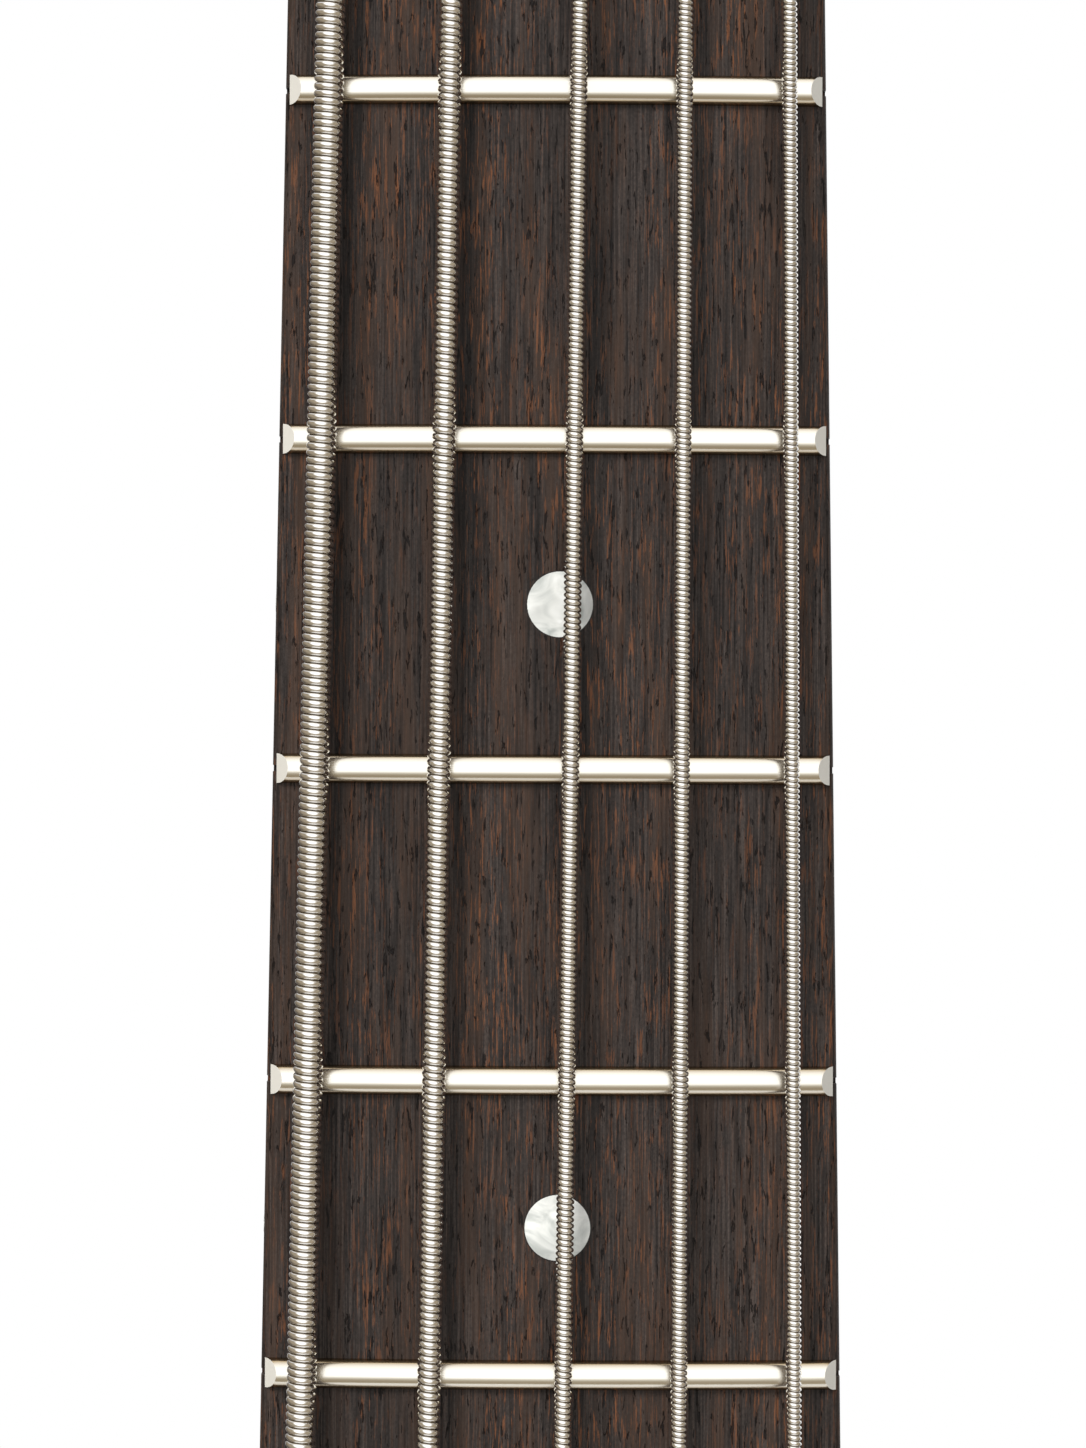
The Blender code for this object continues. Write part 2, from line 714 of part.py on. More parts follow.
def make_tuner_plate(name, spot):
    """Back plate with the two ears that carry the worm, and the bushing through the wood."""
    low = -WORM_DISTANCE - PLATE_BELOW_WORM
    height = PLATE_ABOVE_POST - low
    middle = (spot[0], spot[1] + (PLATE_ABOVE_POST + low) / 2, (PLATE_FRONT + PLATE_BACK) / 2)
    points = rounded_rectangle(2 * PLATE_HALF_WIDTH, height, 4 * MM, 2)
    node = f"tuner_plate_{name}"
    plate = add(
        node, outline(node, points, PLATE_THICKNESS, HEAD, middle), CHROME, HEAD, middle
    )
    ear_end = GEAR_CENTRE - SHAFT_RADIUS - 2.0 * MM
    ear_top = -WORM_DISTANCE + SHAFT_RADIUS + SEAT + 1.2 * MM
    ear_low = -WORM_DISTANCE - SHAFT_RADIUS - SEAT - 1.5 * MM
    spans = []
    for side in (-1, 1):
        inner, outer = sorted((side * EAR_INNER, side * (EAR_INNER + EAR_THICKNESS)))
        spans.append(((inner, ear_low, ear_end), (outer, ear_top, PLATE_FRONT - PLATE_THICKNESS / 2)))
    ears = add(f"ears_{name}", boxes(f"ears_{name}", spans), None, HEAD, spot)
    boolean(plate, ears, "UNION")
    bushing = turned(
        f"bushing_{name}",
        [
            (0, SEAT + FLANGE_THICKNESS),
            (FLANGE_RADIUS - 1.0 * MM, SEAT + FLANGE_THICKNESS),
            (FLANGE_RADIUS, SEAT + FLANGE_THICKNESS - 0.7 * MM),
            (FLANGE_RADIUS, SEAT),
            (BUSHING_RADIUS, SEAT),
            (BUSHING_RADIUS, PLATE_FRONT - PLATE_THICKNESS / 2),
            (0, PLATE_FRONT - PLATE_THICKNESS / 2),
        ],
        12,
        None,
        HEAD,
        spot,
    )
    boolean(plate, bushing, "UNION")
    bore = rods(f"post_bore_{name}", [((0, 0, 0), 4 * HEAD_THICKNESS)], BUSHING_BORE, 12, "w")
    boolean(plate, add(f"post_bore_{name}", bore, None, HEAD, spot))
    centre = (0, -WORM_DISTANCE, GEAR_CENTRE)
    bearing = rods(f"worm_bore_{name}", [(centre, 4 * EAR_INNER)], SHAFT_RADIUS + SEAT, 10, "x")
    boolean(plate, add(f"worm_bore_{name}", bearing, None, HEAD, spot))


def worm_thread_rings():
    """A right-hand thread of trapezoid section round the shaft, about local X."""
    steps = round(THREAD_TURNS * THREAD_STEPS)
    rings = []
    for i in range(steps + 1):
        angle = 2 * math.pi * (i - steps / 2) / THREAD_STEPS
        middle = WORM_LEAD * angle / (2 * math.pi)
        ring = []
        for radius, half in (
            (SHAFT_RADIUS - 0.5 * MM, -THREAD_ROOT_WIDTH / 2),
            (THREAD_TIP_RADIUS, -THREAD_TIP_WIDTH / 2),
            (THREAD_TIP_RADIUS, THREAD_TIP_WIDTH / 2),
            (SHAFT_RADIUS - 0.5 * MM, THREAD_ROOT_WIDTH / 2),
        ):
            ring.append((middle + half, radius * math.cos(angle), radius * math.sin(angle)))
        rings.append(ring)
    return rings


def make_key(name, spot, side):
    """Worm, shaft with collar and clover-leaf key, turning about the shaft's own line."""
    node = f"tuner_key_{name}"
    axle = (spot[0], spot[1] - WORM_DISTANCE, spot[2] + GEAR_CENTRE)
    collar = EAR_INNER + EAR_THICKNESS + SEAT
    end = collar + COLLAR_LENGTH
    inner_end = -EAR_INNER - EAR_THICKNESS - 1.2 * MM
    profile = [
        (0, KEY_REACH + 4 * MM),
        (SHAFT_RADIUS, KEY_REACH + 4 * MM),
        (SHAFT_RADIUS, end),
        (COLLAR_RADIUS, end),
        (COLLAR_RADIUS, collar),
        (SHAFT_RADIUS, collar),
        (SHAFT_RADIUS, inner_end),
        (0, inner_end),
    ]
    turn = Matrix.Rotation(side * math.pi / 2, 3, "Y")
    key = turned(node, profile, 10, CHROME, HEAD, axle, turn)
    thread = add(f"worm_thread_{name}", loft(f"worm_thread_{name}", worm_thread_rings()), None, HEAD, axle)
    boolean(key, thread, "UNION")
    reach, width, end = KEY_REACH, KEY_WIDTH / 2, KEY_REACH + KEY_LENGTH
    leaf = [
        (reach - 1 * MM, 3 * MM),
        (reach + 2 * MM, width * 0.80),
        (reach + 8 * MM, width),
        (reach + 13 * MM, width * 0.72),
        (reach + 14.5 * MM, width * 0.55),
        (end - 3 * MM, width * 0.58),
        (end, 0),
    ]
    leaf += [(x, -y) for x, y in reversed(leaf[:-1])]
    points = [(side * x, y) for x, y in leaf]
    clover_mesh = outline(f"clover_{name}", points, KEY_THICKNESS, HEAD, axle, rounding=2)
    clover = add(f"clover_{name}", clover_mesh, None, HEAD, axle)
    boolean(key, bevel(clover, 0.9 * MM, 1), "UNION")


def make_tuners():
    for name, (side, up) in TUNERS.items():
        spot = (side * POST_OFFSET, up, 0)
        make_tuner_plate(name, spot)
        make_post(name, spot)
        make_key(name, spot, side)


# Strings

def to_head(point):
    """A point of the upright plane in the headstock's plane."""
    turn = Matrix.Rotation(HEAD_TILT, 3, "X")
    return turn @ (Vector(point) - Vector((0, HEAD_START, 0)))


def from_head(point):
    turn = Matrix.Rotation(-HEAD_TILT, 3, "X")
    return turn @ Vector(point) + Vector((0, HEAD_START, 0))


def winding(name, diameter, start):
    """Points of the string from its tangent on the post and WRAPS times round the waist."""
    side, up = TUNERS[name]
    radius = POST_WAIST_RADIUS + SEAT + diameter / 2
    start = to_head(start)
    away = Vector((side * POST_OFFSET - start.x, up - start.y))
    facing = math.atan2(away.y, away.x)
    first = facing + side * math.acos(-radius / away.length)
    pitch = diameter + WRAP_GAP
    points = []
    for i in range(WRAPS * LOOP_POINTS + 1):
        angle = first - side * 2 * math.pi * i / LOOP_POINTS
        spot = (
            side * POST_OFFSET + radius * math.cos(angle),
            up + radius * math.sin(angle),
            FIRST_WRAP_HEIGHT + pitch * i / LOOP_POINTS,
        )
        points.append(from_head(spot))
    return points


def string_path(name):
    """Centre line from the ball end, over the saddle and the nut, to the post's windings."""
    index = [row[0] for row in STRINGS].index(name)
    _, diameter, nut_x, set_back = STRINGS[index]
    x = bridge_x(index)
    radius = diameter / 2
    saddle = BRIDGE_LINE - set_back
    flange = BRIDGE_LINE - FLANGE_BEHIND_SADDLE
    notch = NOTCH_LINE + radius
    behind = flange - FLANGE_WALL - SEAT
    crest = string_bottom(x, True) + radius
    nut_point = Vector((nut_x, NUT_CREST, string_bottom(nut_x, False) + radius))
    saddle_point = Vector((x, saddle, crest))
    along = nut_point - saddle_point
    wound = winding(name, diameter, nut_point)
    path = [
        Vector((x, behind - BALL_LENGTH, notch)),
        Vector((x, behind, notch)),
        Vector((x, behind, notch)),
        Vector((x, flange, notch)),
        saddle_point,
        nut_point - along * (NUT_CREST * 3 / along.length),
        nut_point,
        nut_point.lerp(wound[0], (NUT_THICKNESS + 2 * MM) / (wound[0] - nut_point).length),
    ]
    return path + wound


def least_gap(points, diameter):
    """Smallest space between a tube and itself, on points more than two diameters apart."""
    run = [0.0]
    for before, after in zip(points, points[1:]):
        run.append(run[-1] + (after - before).length)
    gaps = [
        (points[i] - points[j]).length - diameter
        for i in range(len(points))
        for j in range(i)
        if run[i] - run[j] > 2.5 * diameter
    ]
    return min(gaps)


def make_strings():
    for name, diameter, _, _ in STRINGS:
        path = string_path(name)
        curve = bpy.data.curves.new(f"string_{name}", "CURVE")
        curve.dimensions = "3D"
        curve.bevel_depth = diameter / 2
        curve.bevel_resolution = 1
        curve.use_fill_caps = True
        spline = curve.splines.new("POLY")
        spline.points.add(len(path) - 1)
        for knot, point in zip(spline.points, path):
            knot.co = (*point, 1)
        for knot in spline.points[:2]:
            knot.radius = BALL_DIAMETER / diameter
        wound = path[-WRAPS * LOOP_POINTS - 1 :]
        gap = least_gap(wound, diameter)
        print(f"string_{name}: least gap between its windings {gap / MM:.2f} mm")
        string = bpy.data.objects.new(f"string_{name}", curve)
        PARTS.objects.link(string)
        curve.materials.append(STEEL_STRING)
        place(string, UPRIGHT)


# Body

def body_outline():
    """Outline points, the horns placed from the end of the board, the rest from the bridge."""
    heel = BOARD_END
    mouth = heel + HEEL_LENGTH - SEAT
    half = board_half(mouth) + POCKET_WALL
    tail = BRIDGE_LINE - TAIL_BELOW_BRIDGE
    horns = [
        (0, mouth),
        (-half + 12 * MM, mouth - 0.8 * MM),
        (-half + 1 * MM, mouth - 11 * MM),
        (-half - 3 * MM, mouth - 28 * MM),
        (-58 * MM, heel + 57 * MM),
        (-78 * MM, heel + 78 * MM),
        (-94 * MM, heel + 116 * MM),
        (-110 * MM, heel + 143 * MM),
        (-126 * MM, heel + 144 * MM),
        (-140 * MM, heel + 118 * MM),
        (-142 * MM, heel + 60 * MM),
        (-132 * MM, heel - 15 * MM),
    ]
    lower = [
        (-125 * MM, BRIDGE_LINE + 182 * MM),
        (-136 * MM, BRIDGE_LINE + 115 * MM),
        (-161 * MM, BRIDGE_LINE + 50 * MM),
        (-171 * MM, BRIDGE_LINE - 5 * MM),
        (-152 * MM, tail + 24 * MM),
        (-95 * MM, tail + 4 * MM),
        (0, tail),
        (95 * MM, tail + 6 * MM),
        (150 * MM, tail + 30 * MM),
        (168 * MM, BRIDGE_LINE + 8 * MM),
        (156 * MM, BRIDGE_LINE + 72 * MM),
        (126 * MM, BRIDGE_LINE + 145 * MM),
        (114 * MM, BRIDGE_LINE + 198 * MM),
    ]
    treble = [
        (117 * MM, heel + 0 * MM),
        (124 * MM, heel + 44 * MM),
        (123 * MM, heel + 74 * MM),
        (110 * MM, heel + 86 * MM),
        (95 * MM, heel + 72 * MM),
        (80 * MM, heel + 42 * MM),
        (60 * MM, heel + 24 * MM),
        (half + 4 * MM, heel + 36 * MM),
        (half + 0.5 * MM, mouth - 33 * MM),
        (half - 1 * MM, mouth - 11 * MM),
        (half - 12 * MM, mouth - 0.8 * MM),
    ]
    return horns + lower + treble


def pickup_places():
    return {
        "pickup_neck": BOARD_END - NECK_PICKUP_BELOW_BOARD,
        "pickup_bridge": BRIDGE_LINE + BRIDGE_PICKUP_ABOVE_SADDLE,
    }


def pickup_x(v):
    """Middle of the strings where a pickup lies under them."""
    middle_string = STRINGS[len(STRINGS) // 2]
    return middle_string[2] + (BRIDGE_OFFSET - middle_string[2]) * v / BRIDGE_LINE


def cover_outline(grow):
    """Rear control cover: a bean round the three knobs, grown by a margin."""
    knots = [
        (66, 78), (84, 96), (108, 86), (126, 54), (138, 14),
        (132, -14), (110, -20), (92, 2), (78, 36), (64, 56),
    ]
    centre_x, centre_v = 102 * MM, 36 * MM
    points = []
    for x, v in knots:
        dx, dv = x * MM - centre_x, v * MM - centre_v
        stretch = 1 + grow / math.hypot(dx, dv)
        points.append((centre_x + dx * stretch, BRIDGE_LINE + centre_v + dv * stretch))
    return points


def scoop(name, spot, patch, degrees, out):
    """An ellipsoid that cuts a shallow patch, given by its half sizes and its depth."""
    across, along, deep = patch
    bowl = CONTOUR_BOWL
    share = math.sqrt(1 - ((bowl - deep) / bowl) ** 2)
    shape = bmesh.new()
    size = Matrix.Diagonal((across / share, along / share, bowl, 1.0))
    bmesh.ops.create_uvsphere(shape, u_segments=32, v_segments=20, radius=1.0, matrix=size)
    x, v, face = spot
    centre = (x, v, face + out * (bowl - deep))
    turn = Matrix.Rotation(math.radians(degrees), 3, "Z")
    return add(name, from_bmesh(name, shape), None, UPRIGHT, centre, turn)


def make_body():
    middle = (0, 0, (BODY_TOP + BODY_BACK) / 2)
    mesh = outline("body", body_outline(), BODY_THICKNESS, UPRIGHT, middle, rounding=3)
    body = bevel(add("body", mesh, LACQUER, UPRIGHT, middle), EDGE_RADIUS, 2, 60)

    arm = (FOREARM_SPOT[0], BRIDGE_LINE + FOREARM_SPOT[1], BODY_TOP)
    boolean(body, scoop("forearm_contour", arm, FOREARM_CONTOUR, FOREARM_TURN, 1))
    ribs = (RIB_SPOT[0], BRIDGE_LINE + RIB_SPOT[1], BODY_BACK)
    boolean(body, scoop("rib_contour", ribs, RIB_CONTOUR, RIB_TURN, -1))

    beyond = BOARD_END + 1.6 * HEEL_LENGTH
    rings = []
    for v in (BOARD_END - SEAT, beyond):
        half = board_half(v) + SEAT
        rings.append(
            (
                (half, v, POCKET_FLOOR),
                (half, v, BODY_TOP + OVERLAP),
                (-half, v, BODY_TOP + OVERLAP),
                (-half, v, POCKET_FLOOR),
            )
        )
    boolean(body, add("neck_pocket", loft("neck_pocket", rings), None))

    size = rounded_rectangle(
        PICKUP_LENGTH + 2 * PICKUP_GAP, PICKUP_WIDTH + 2 * PICKUP_GAP, PICKUP_CORNER, 3
    )
    for name, v in pickup_places().items():
        spot = (pickup_x(v), v, BODY_TOP - PICKUP_CAVITY_DEPTH / 2 + OVERLAP)
        cutter = outline(name + "_cavity", size, PICKUP_CAVITY_DEPTH + 2 * OVERLAP, UPRIGHT, spot)
        boolean(body, add(name + "_cavity", cutter, None, UPRIGHT, spot))

    recess = COVER_THICKNESS + SEAT
    for name, grow, deep in (
        ("cover_recess", SEAT, recess),
        ("control_cavity", -COVER_LEDGE, BODY_THICKNESS - CAVITY_ROOF),
    ):
        spot = (0, 0, BODY_BACK + deep / 2 - OVERLAP)
        cutter = outline(name, cover_outline(grow), deep + 2 * OVERLAP, UPRIGHT, spot, rounding=3)
        boolean(body, add(name, cutter, None, UPRIGHT, spot))
    spots = [((x, BRIDGE_LINE + up, BODY_TOP), 4 * CAVITY_ROOF) for _, x, up in KNOBS]
    holes = rods("pot_holes", spots, POT_SHAFT_RADIUS + SEAT, 16, "w")
    boolean(body, add("pot_holes", holes, None))

    reach = CUT_REACH / 4
    spots = [((HORN_BUTTON[0], BOARD_END + HORN_BUTTON[1] + reach / 2, middle[2]), reach)]
    seat = rods("strap_seat", spots, BUTTON_RADIUS + OVERLAP, 24, "v")
    boolean(body, add("strap_seat", seat, None))

    v = BRIDGE_LINE + JACK_ABOVE_BRIDGE
    spots = [((JACK_SEAT_X + CUT_REACH / 2, v, middle[2]), CUT_REACH)]
    seat = rods("jack_seat", spots, JACK_FLANGE_RADIUS + 1.0 * MM, 24, "x")
    boolean(body, add("jack_seat", seat, None))
    deep = 2 * (JACK_BARREL_LENGTH + SEAT)
    hole = rods("jack_hole", [((JACK_SEAT_X, v, middle[2]), deep)], JACK_BARREL_RADIUS + SEAT, 16, "x")
    boolean(body, add("jack_hole", hole, None))
    return body


def make_pickups():
    points = rounded_rectangle(PICKUP_LENGTH, PICKUP_WIDTH, PICKUP_CORNER, 3)
    for name, v in pickup_places().items():
        spot = (pickup_x(v), v, PICKUP_TOP - PICKUP_DEPTH / 2)
        mesh = outline(name, points, PICKUP_DEPTH, UPRIGHT, spot)
        bevel(add(name, mesh, BLACK_PLASTIC, UPRIGHT, spot), 1.2 * MM, 1, 60)


def make_control_cover():
    spot = (0, 0, BODY_BACK + COVER_THICKNESS / 2)
    mesh = outline(
        "control_cover", cover_outline(0), COVER_THICKNESS, UPRIGHT, spot, rounding=3
    )
    add("control_cover", mesh, BLACK_PLASTIC, UPRIGHT, spot)


def make_knobs():
    for name, x, up in KNOBS:
        profile = [
            (0, KNOB_HEIGHT),
            (KNOB_RADIUS - 1.6 * MM, KNOB_HEIGHT),
            (KNOB_RADIUS - 0.6 * MM, KNOB_HEIGHT - 1.0 * MM),
            (KNOB_RADIUS, 1.0 * MM),
            (KNOB_RADIUS, SEAT),
            (POT_SHAFT_RADIUS, SEAT),
            (POT_SHAFT_RADIUS, -POT_SHAFT_LENGTH),
            (0, -POT_SHAFT_LENGTH),
        ]
        spot = (x, BRIDGE_LINE + up, BODY_TOP)
        knob = turned(name, profile, 16, CHROME, UPRIGHT, spot)
        low = (-0.6 * MM, KNOB_RADIUS * 0.45, KNOB_HEIGHT - 0.7 * MM)
        high = (0.6 * MM, KNOB_RADIUS * 1.2, KNOB_HEIGHT + OVERLAP)
        line = boxes(name + "_line", [(low, high)])
        boolean(knob, add(name + "_line", line, None, UPRIGHT, spot))


def make_jack():
    """Jack socket and its round ferrule in one: a blind tube with a flange, about +X."""
    out = SEAT + JACK_FLANGE_THICKNESS
    inner = -JACK_BARREL_LENGTH + JACK_END_WALL
    profile = [
        (0, inner),
        (JACK_BORE_RADIUS, inner),
        (JACK_BORE_RADIUS, out),
        (JACK_FLANGE_RADIUS - 0.8 * MM, out),
        (JACK_FLANGE_RADIUS, out - 0.6 * MM),
        (JACK_FLANGE_RADIUS, SEAT),
        (JACK_BARREL_RADIUS, SEAT),
        (JACK_BARREL_RADIUS, -JACK_BARREL_LENGTH),
        (0, -JACK_BARREL_LENGTH),
    ]
    spot = (JACK_SEAT_X, BRIDGE_LINE + JACK_ABOVE_BRIDGE, (BODY_TOP + BODY_BACK) / 2)
    turned("output_jack", profile, 16, CHROME, UPRIGHT, spot, AXIS_TURNS["x"])


def make_neck_plate():
    points = rounded_rectangle(NECK_PLATE_WIDTH, NECK_PLATE_LENGTH, 5 * MM, 3)
    spot = (
        0,
        BOARD_END + HEEL_LENGTH / 2,
        BODY_BACK - SEAT - NECK_PLATE_THICKNESS / 2,
    )
    mesh = outline("neck_plate", points, NECK_PLATE_THICKNESS, UPRIGHT, spot)
    bevel(add("neck_plate", mesh, CHROME, UPRIGHT, spot), 0.6 * MM, 1, 60)


def make_strap_buttons():
    profile = [
        (0, BUTTON_HEIGHT),
        (BUTTON_RADIUS - 1.5 * MM, BUTTON_HEIGHT),
        (BUTTON_RADIUS, BUTTON_HEIGHT - 1.2 * MM),
        (BUTTON_RADIUS, BUTTON_HEIGHT - 3.0 * MM),
        (BUTTON_WAIST, BUTTON_HEIGHT - 6.0 * MM),
        (BUTTON_WAIST + 0.4 * MM, 2.5 * MM),
        (BUTTON_RADIUS - 1.0 * MM, SEAT),
        (0, SEAT),
    ]
    middle = (BODY_TOP + BODY_BACK) / 2
    tail = BRIDGE_LINE - TAIL_BELOW_BRIDGE
    down = Matrix.Rotation(math.pi / 2, 3, "X")
    turned("strap_button_tail", profile, 16, CHROME, UPRIGHT, (0, tail, middle), down)
    horn = (HORN_BUTTON[0], BOARD_END + HORN_BUTTON[1], middle)
    up = Matrix.Rotation(-math.pi / 2, 3, "X")
    turned("strap_button_horn", profile, 16, CHROME, UPRIGHT, horn, up)


# Bridge

def make_bridge_plate():
    flange = BRIDGE_LINE - FLANGE_BEHIND_SADDLE
    back = flange - FLANGE_WALL
    base = BODY_TOP + SEAT
    left = BRIDGE_OFFSET - BRIDGE_WIDTH / 2
    right = BRIDGE_OFFSET + BRIDGE_WIDTH / 2
    spans = [((left, back, base), (right, back + BRIDGE_LENGTH, BRIDGE_BASE_TOP))]
    plate = add("bridge_plate", boxes("bridge_plate", spans), CHROME)
    top = base + FLANGE_HEIGHT
    wall = boxes("flange_wall", [((left, back, base), (right, flange, top))])
    boolean(plate, add("flange_wall", wall, None), "UNION")
    rail_top = base + RAIL_HEIGHT
    spans = [
        ((left, back, base), (left + RAIL_THICKNESS, back + BRIDGE_LENGTH, rail_top)),
        ((right - RAIL_THICKNESS, back, base), (right, back + BRIDGE_LENGTH, rail_top)),
    ]
    boolean(plate, add("side_rails", boxes("side_rails", spans), None), "UNION")

    screws = []
    heads = []
    for index, (_, _, _, set_back) in enumerate(STRINGS):
        x = bridge_x(index)
        front = BRIDGE_LINE - set_back + SADDLE_FRONT + SADDLE_TRAVEL + 1 * MM
        rear = back - 0.5 * MM
        screws.append(((x, (front + rear) / 2, ADJUSTER_LINE), front - rear))
        head_v = back - ADJUSTER_HEAD_LENGTH / 2
        heads.append(((x, head_v, ADJUSTER_LINE), ADJUSTER_HEAD_LENGTH + 0.6 * MM))
    shafts = rods("adjusters", screws, ADJUSTER_RADIUS, 8, "v")
    boolean(plate, add("adjusters", shafts, None), "UNION")
    caps = rods("adjuster_heads", heads, ADJUSTER_HEAD_RADIUS, 10, "v")
    boolean(plate, add("adjuster_heads", caps, None), "UNION")
    for index, (name, diameter, _, _) in enumerate(STRINGS):
        half = diameter / 2 + SEAT
        x = bridge_x(index)
        low = NOTCH_LINE - SEAT
        span = ((x - half, back - OVERLAP, low), (x + half, flange + OVERLAP, top + OVERLAP))
        notch = boxes(f"string_notch_{name}", [span])
        boolean(plate, add(f"string_notch_{name}", notch, None))


def make_saddle(index):
    name, diameter, _, set_back = STRINGS[index]
    node = f"saddle_{name}"
    x = bridge_x(index)
    crest_v = BRIDGE_LINE - set_back
    bottom = string_bottom(x, True) - SEAT
    top = bottom + SADDLE_GROOVE
    foot = BRIDGE_BASE_TOP + SEAT
    under = foot + SADDLE_LIFT
    rings = []
    for side in (-1, 1):
        edge = x + side * SADDLE_WIDTH / 2
        rings.append(
            (
                (edge, crest_v + SADDLE_FRONT, under),
                (edge, crest_v + SADDLE_FRONT, top - 4.5 * MM),
                (edge, crest_v + 1.5 * MM, top),
                (edge, crest_v - 2.0 * MM, top),
                (edge, crest_v - SADDLE_BACK, top - 2.5 * MM),
                (edge, crest_v - SADDLE_BACK, under),
            )
        )
    saddle = add(node, loft(node, rings), CHROME)
    spots = []
    for side in (-1, 1):
        spots.append(
            ((x + side * GRUB_OFFSET, crest_v - 4.0 * MM, foot + 2 * MM), 4 * MM)
        )
    grubs = rods(f"height_screws_{name}", spots, GRUB_RADIUS, 8, "w")
    boolean(saddle, add(f"height_screws_{name}", grubs, None), "UNION")
    middle = (x, crest_v, ADJUSTER_LINE)
    bore = rods(f"saddle_bore_{name}", [(middle, 60 * MM)], ADJUSTER_RADIUS + SEAT, 8, "v")
    boolean(saddle, add(f"saddle_bore_{name}", bore, None))
    path = string_path(name)
    groove = loft(f"saddle_groove_{name}", slot_rings(path[3:6], diameter))
    boolean(saddle, add(f"saddle_groove_{name}", groove, None))


def settle_surfaces():
    """Makes each part's modifiers real, so that its edges can be shaded by their angle."""
    bpy.context.view_layer.update()
    graph = bpy.context.evaluated_depsgraph_get()
    for obj in PARTS.objects:
        if obj.type != "MESH" or not obj.modifiers:
            continue
        mesh = bpy.data.meshes.new_from_object(obj.evaluated_get(graph))
        obj.modifiers.clear()
        obj.data = mesh
        smooth(mesh)


def main():
    make_neck()
    make_fingerboard()
    make_frets()
    make_nut()
    make_tuners()
    make_body()
    make_pickups()
    make_control_cover()
    make_knobs()
    make_jack()
    make_neck_plate()
    make_strap_buttons()
    make_bridge_plate()
    for index in range(len(STRINGS)):
        make_saddle(index)
    make_strings()
    settle_surfaces()


main()
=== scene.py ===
"""Looks of the five-string electric bass guitar.

Everything is drawn in the instrument's own front view, as in the CAD: x runs to the treble side,
v runs up the neck from the nut line and w comes out of the front. UPRIGHT and HEAD turn those
into the frame's X, Y and Z, HEAD for what lies in the plane of the tilted headstock. NO_TURN is
for what is in the frame already.
"""

import math

import bmesh
import bpy
import numpy as np
from mathutils import Matrix, Vector


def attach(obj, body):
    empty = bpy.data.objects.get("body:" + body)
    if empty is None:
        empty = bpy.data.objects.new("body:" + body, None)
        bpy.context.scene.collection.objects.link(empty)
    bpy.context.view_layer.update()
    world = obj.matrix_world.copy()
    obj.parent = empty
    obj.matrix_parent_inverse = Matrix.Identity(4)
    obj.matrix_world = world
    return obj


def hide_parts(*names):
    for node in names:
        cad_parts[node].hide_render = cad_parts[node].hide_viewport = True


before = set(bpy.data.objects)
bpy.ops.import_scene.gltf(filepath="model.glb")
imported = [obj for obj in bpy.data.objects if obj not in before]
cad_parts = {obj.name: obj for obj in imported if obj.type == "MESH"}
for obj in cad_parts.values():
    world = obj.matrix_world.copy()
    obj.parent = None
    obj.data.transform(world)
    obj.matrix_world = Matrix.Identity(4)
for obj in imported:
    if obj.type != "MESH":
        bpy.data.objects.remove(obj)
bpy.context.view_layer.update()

MM = 0.001
ROOT = "instrument"

# Scale and fingerboard
SCALE_LENGTH = 863.6 * MM
FRET_COUNT = 20
NUT_WIDTH = 49.8 * MM
WIDTH_AT_12TH = 62.8 * MM
SEAT = 0.3 * MM
BOARD_THICKNESS = 6.5 * MM
BOARD_OVERHANG = 8.4 * MM
BOARD_ROLL = 0.9 * MM
BOARD_FLATS = 22
CAMBER_RADIUS = 400.0 * MM
BOARD_TOP = SEAT + BOARD_THICKNESS

# Frets
FRETS = range(1, FRET_COUNT + 1)
CROWN_WIDTH = 3.1 * MM
CROWN_HEIGHT = 1.3 * MM
END_BEVEL = 1.25 * MM
END_INSET = 0.45 * MM
TANG_THICKNESS = 0.6 * MM
TANG_DEPTH = 1.7 * MM
FRET_TOP = BOARD_TOP + 0.1 * MM + CROWN_HEIGHT

# Dots
DOT_RADIUS = 3.45 * MM
DOT_CHAMFER = 0.05 * MM
DOT_FRETS = (3, 5, 7, 9, 15, 17, 19)
DOT_SHIFT = 0.65 * MM
TWIN_DOT_OFFSET = 14.0 * MM
SIDE_DOT_RADIUS = 1.0 * MM

# Neck and nut
NECK_DEPTH_AT_NUT = 14.5 * MM
NECK_DEPTH_AT_12TH = 17.0 * MM
HEEL_DEPTH = 19.0 * MM
HEEL_LENGTH = 95.0 * MM
HEEL_RAMP = 42.0 * MM
NUT_THICKNESS = 5.0 * MM
NUT_HEIGHT_OVER_BOARD = 3.0 * MM
NUT_LINE = SEAT
NUT_CREST = NUT_LINE + 1.0 * MM
SLOT_OPENING = 12.0 * MM

# Headstock
HEAD_TILT = math.radians(10.0)
HEAD_THICKNESS = 14.5 * MM
HEAD_START = 6.0 * MM
HEAD_LENGTH = 188.0 * MM
HEAD_HALF_WIDTH = 46.0 * MM

# Strings: name, diameter, place at the nut, set-back of the saddle, pitch of the wrap
STRINGS = (
    ("b", 3.12 * MM, -19.8 * MM, 6.0 * MM, 0.755 * MM),
    ("e", 2.50 * MM, -8.45 * MM, 5.0 * MM, 0.745 * MM),
    ("a", 1.90 * MM, 4.0 * MM, 4.0 * MM, 0.615 * MM),
    ("d", 1.80 * MM, 13.3 * MM, 3.0 * MM, 0.58 * MM),
    ("g", 1.66 * MM, 22.5 * MM, 2.0 * MM, 0.56 * MM),
)
STRING_SPACING = 15.75 * MM
BRIDGE_OFFSET = -2.7 * MM
STRING_AT_NUT = FRET_TOP + 0.4 * MM
STRING_AT_BRIDGE = FRET_TOP + 4.0 * MM
BALL_DIAMETER = 5.6 * MM
BALL_LENGTH = 4.5 * MM
WRAPS = 2
WRAP_GAP = 0.5 * MM
LOOP_POINTS = 60
CLOSE_STRETCH = (-385.0 * MM, -180.0 * MM)
LINE_SAMPLES = 6000
# How fast the painted shade in the grooves between wraps fades towards the wire's crest
GROOVE_SHADE_POWER = 2.2
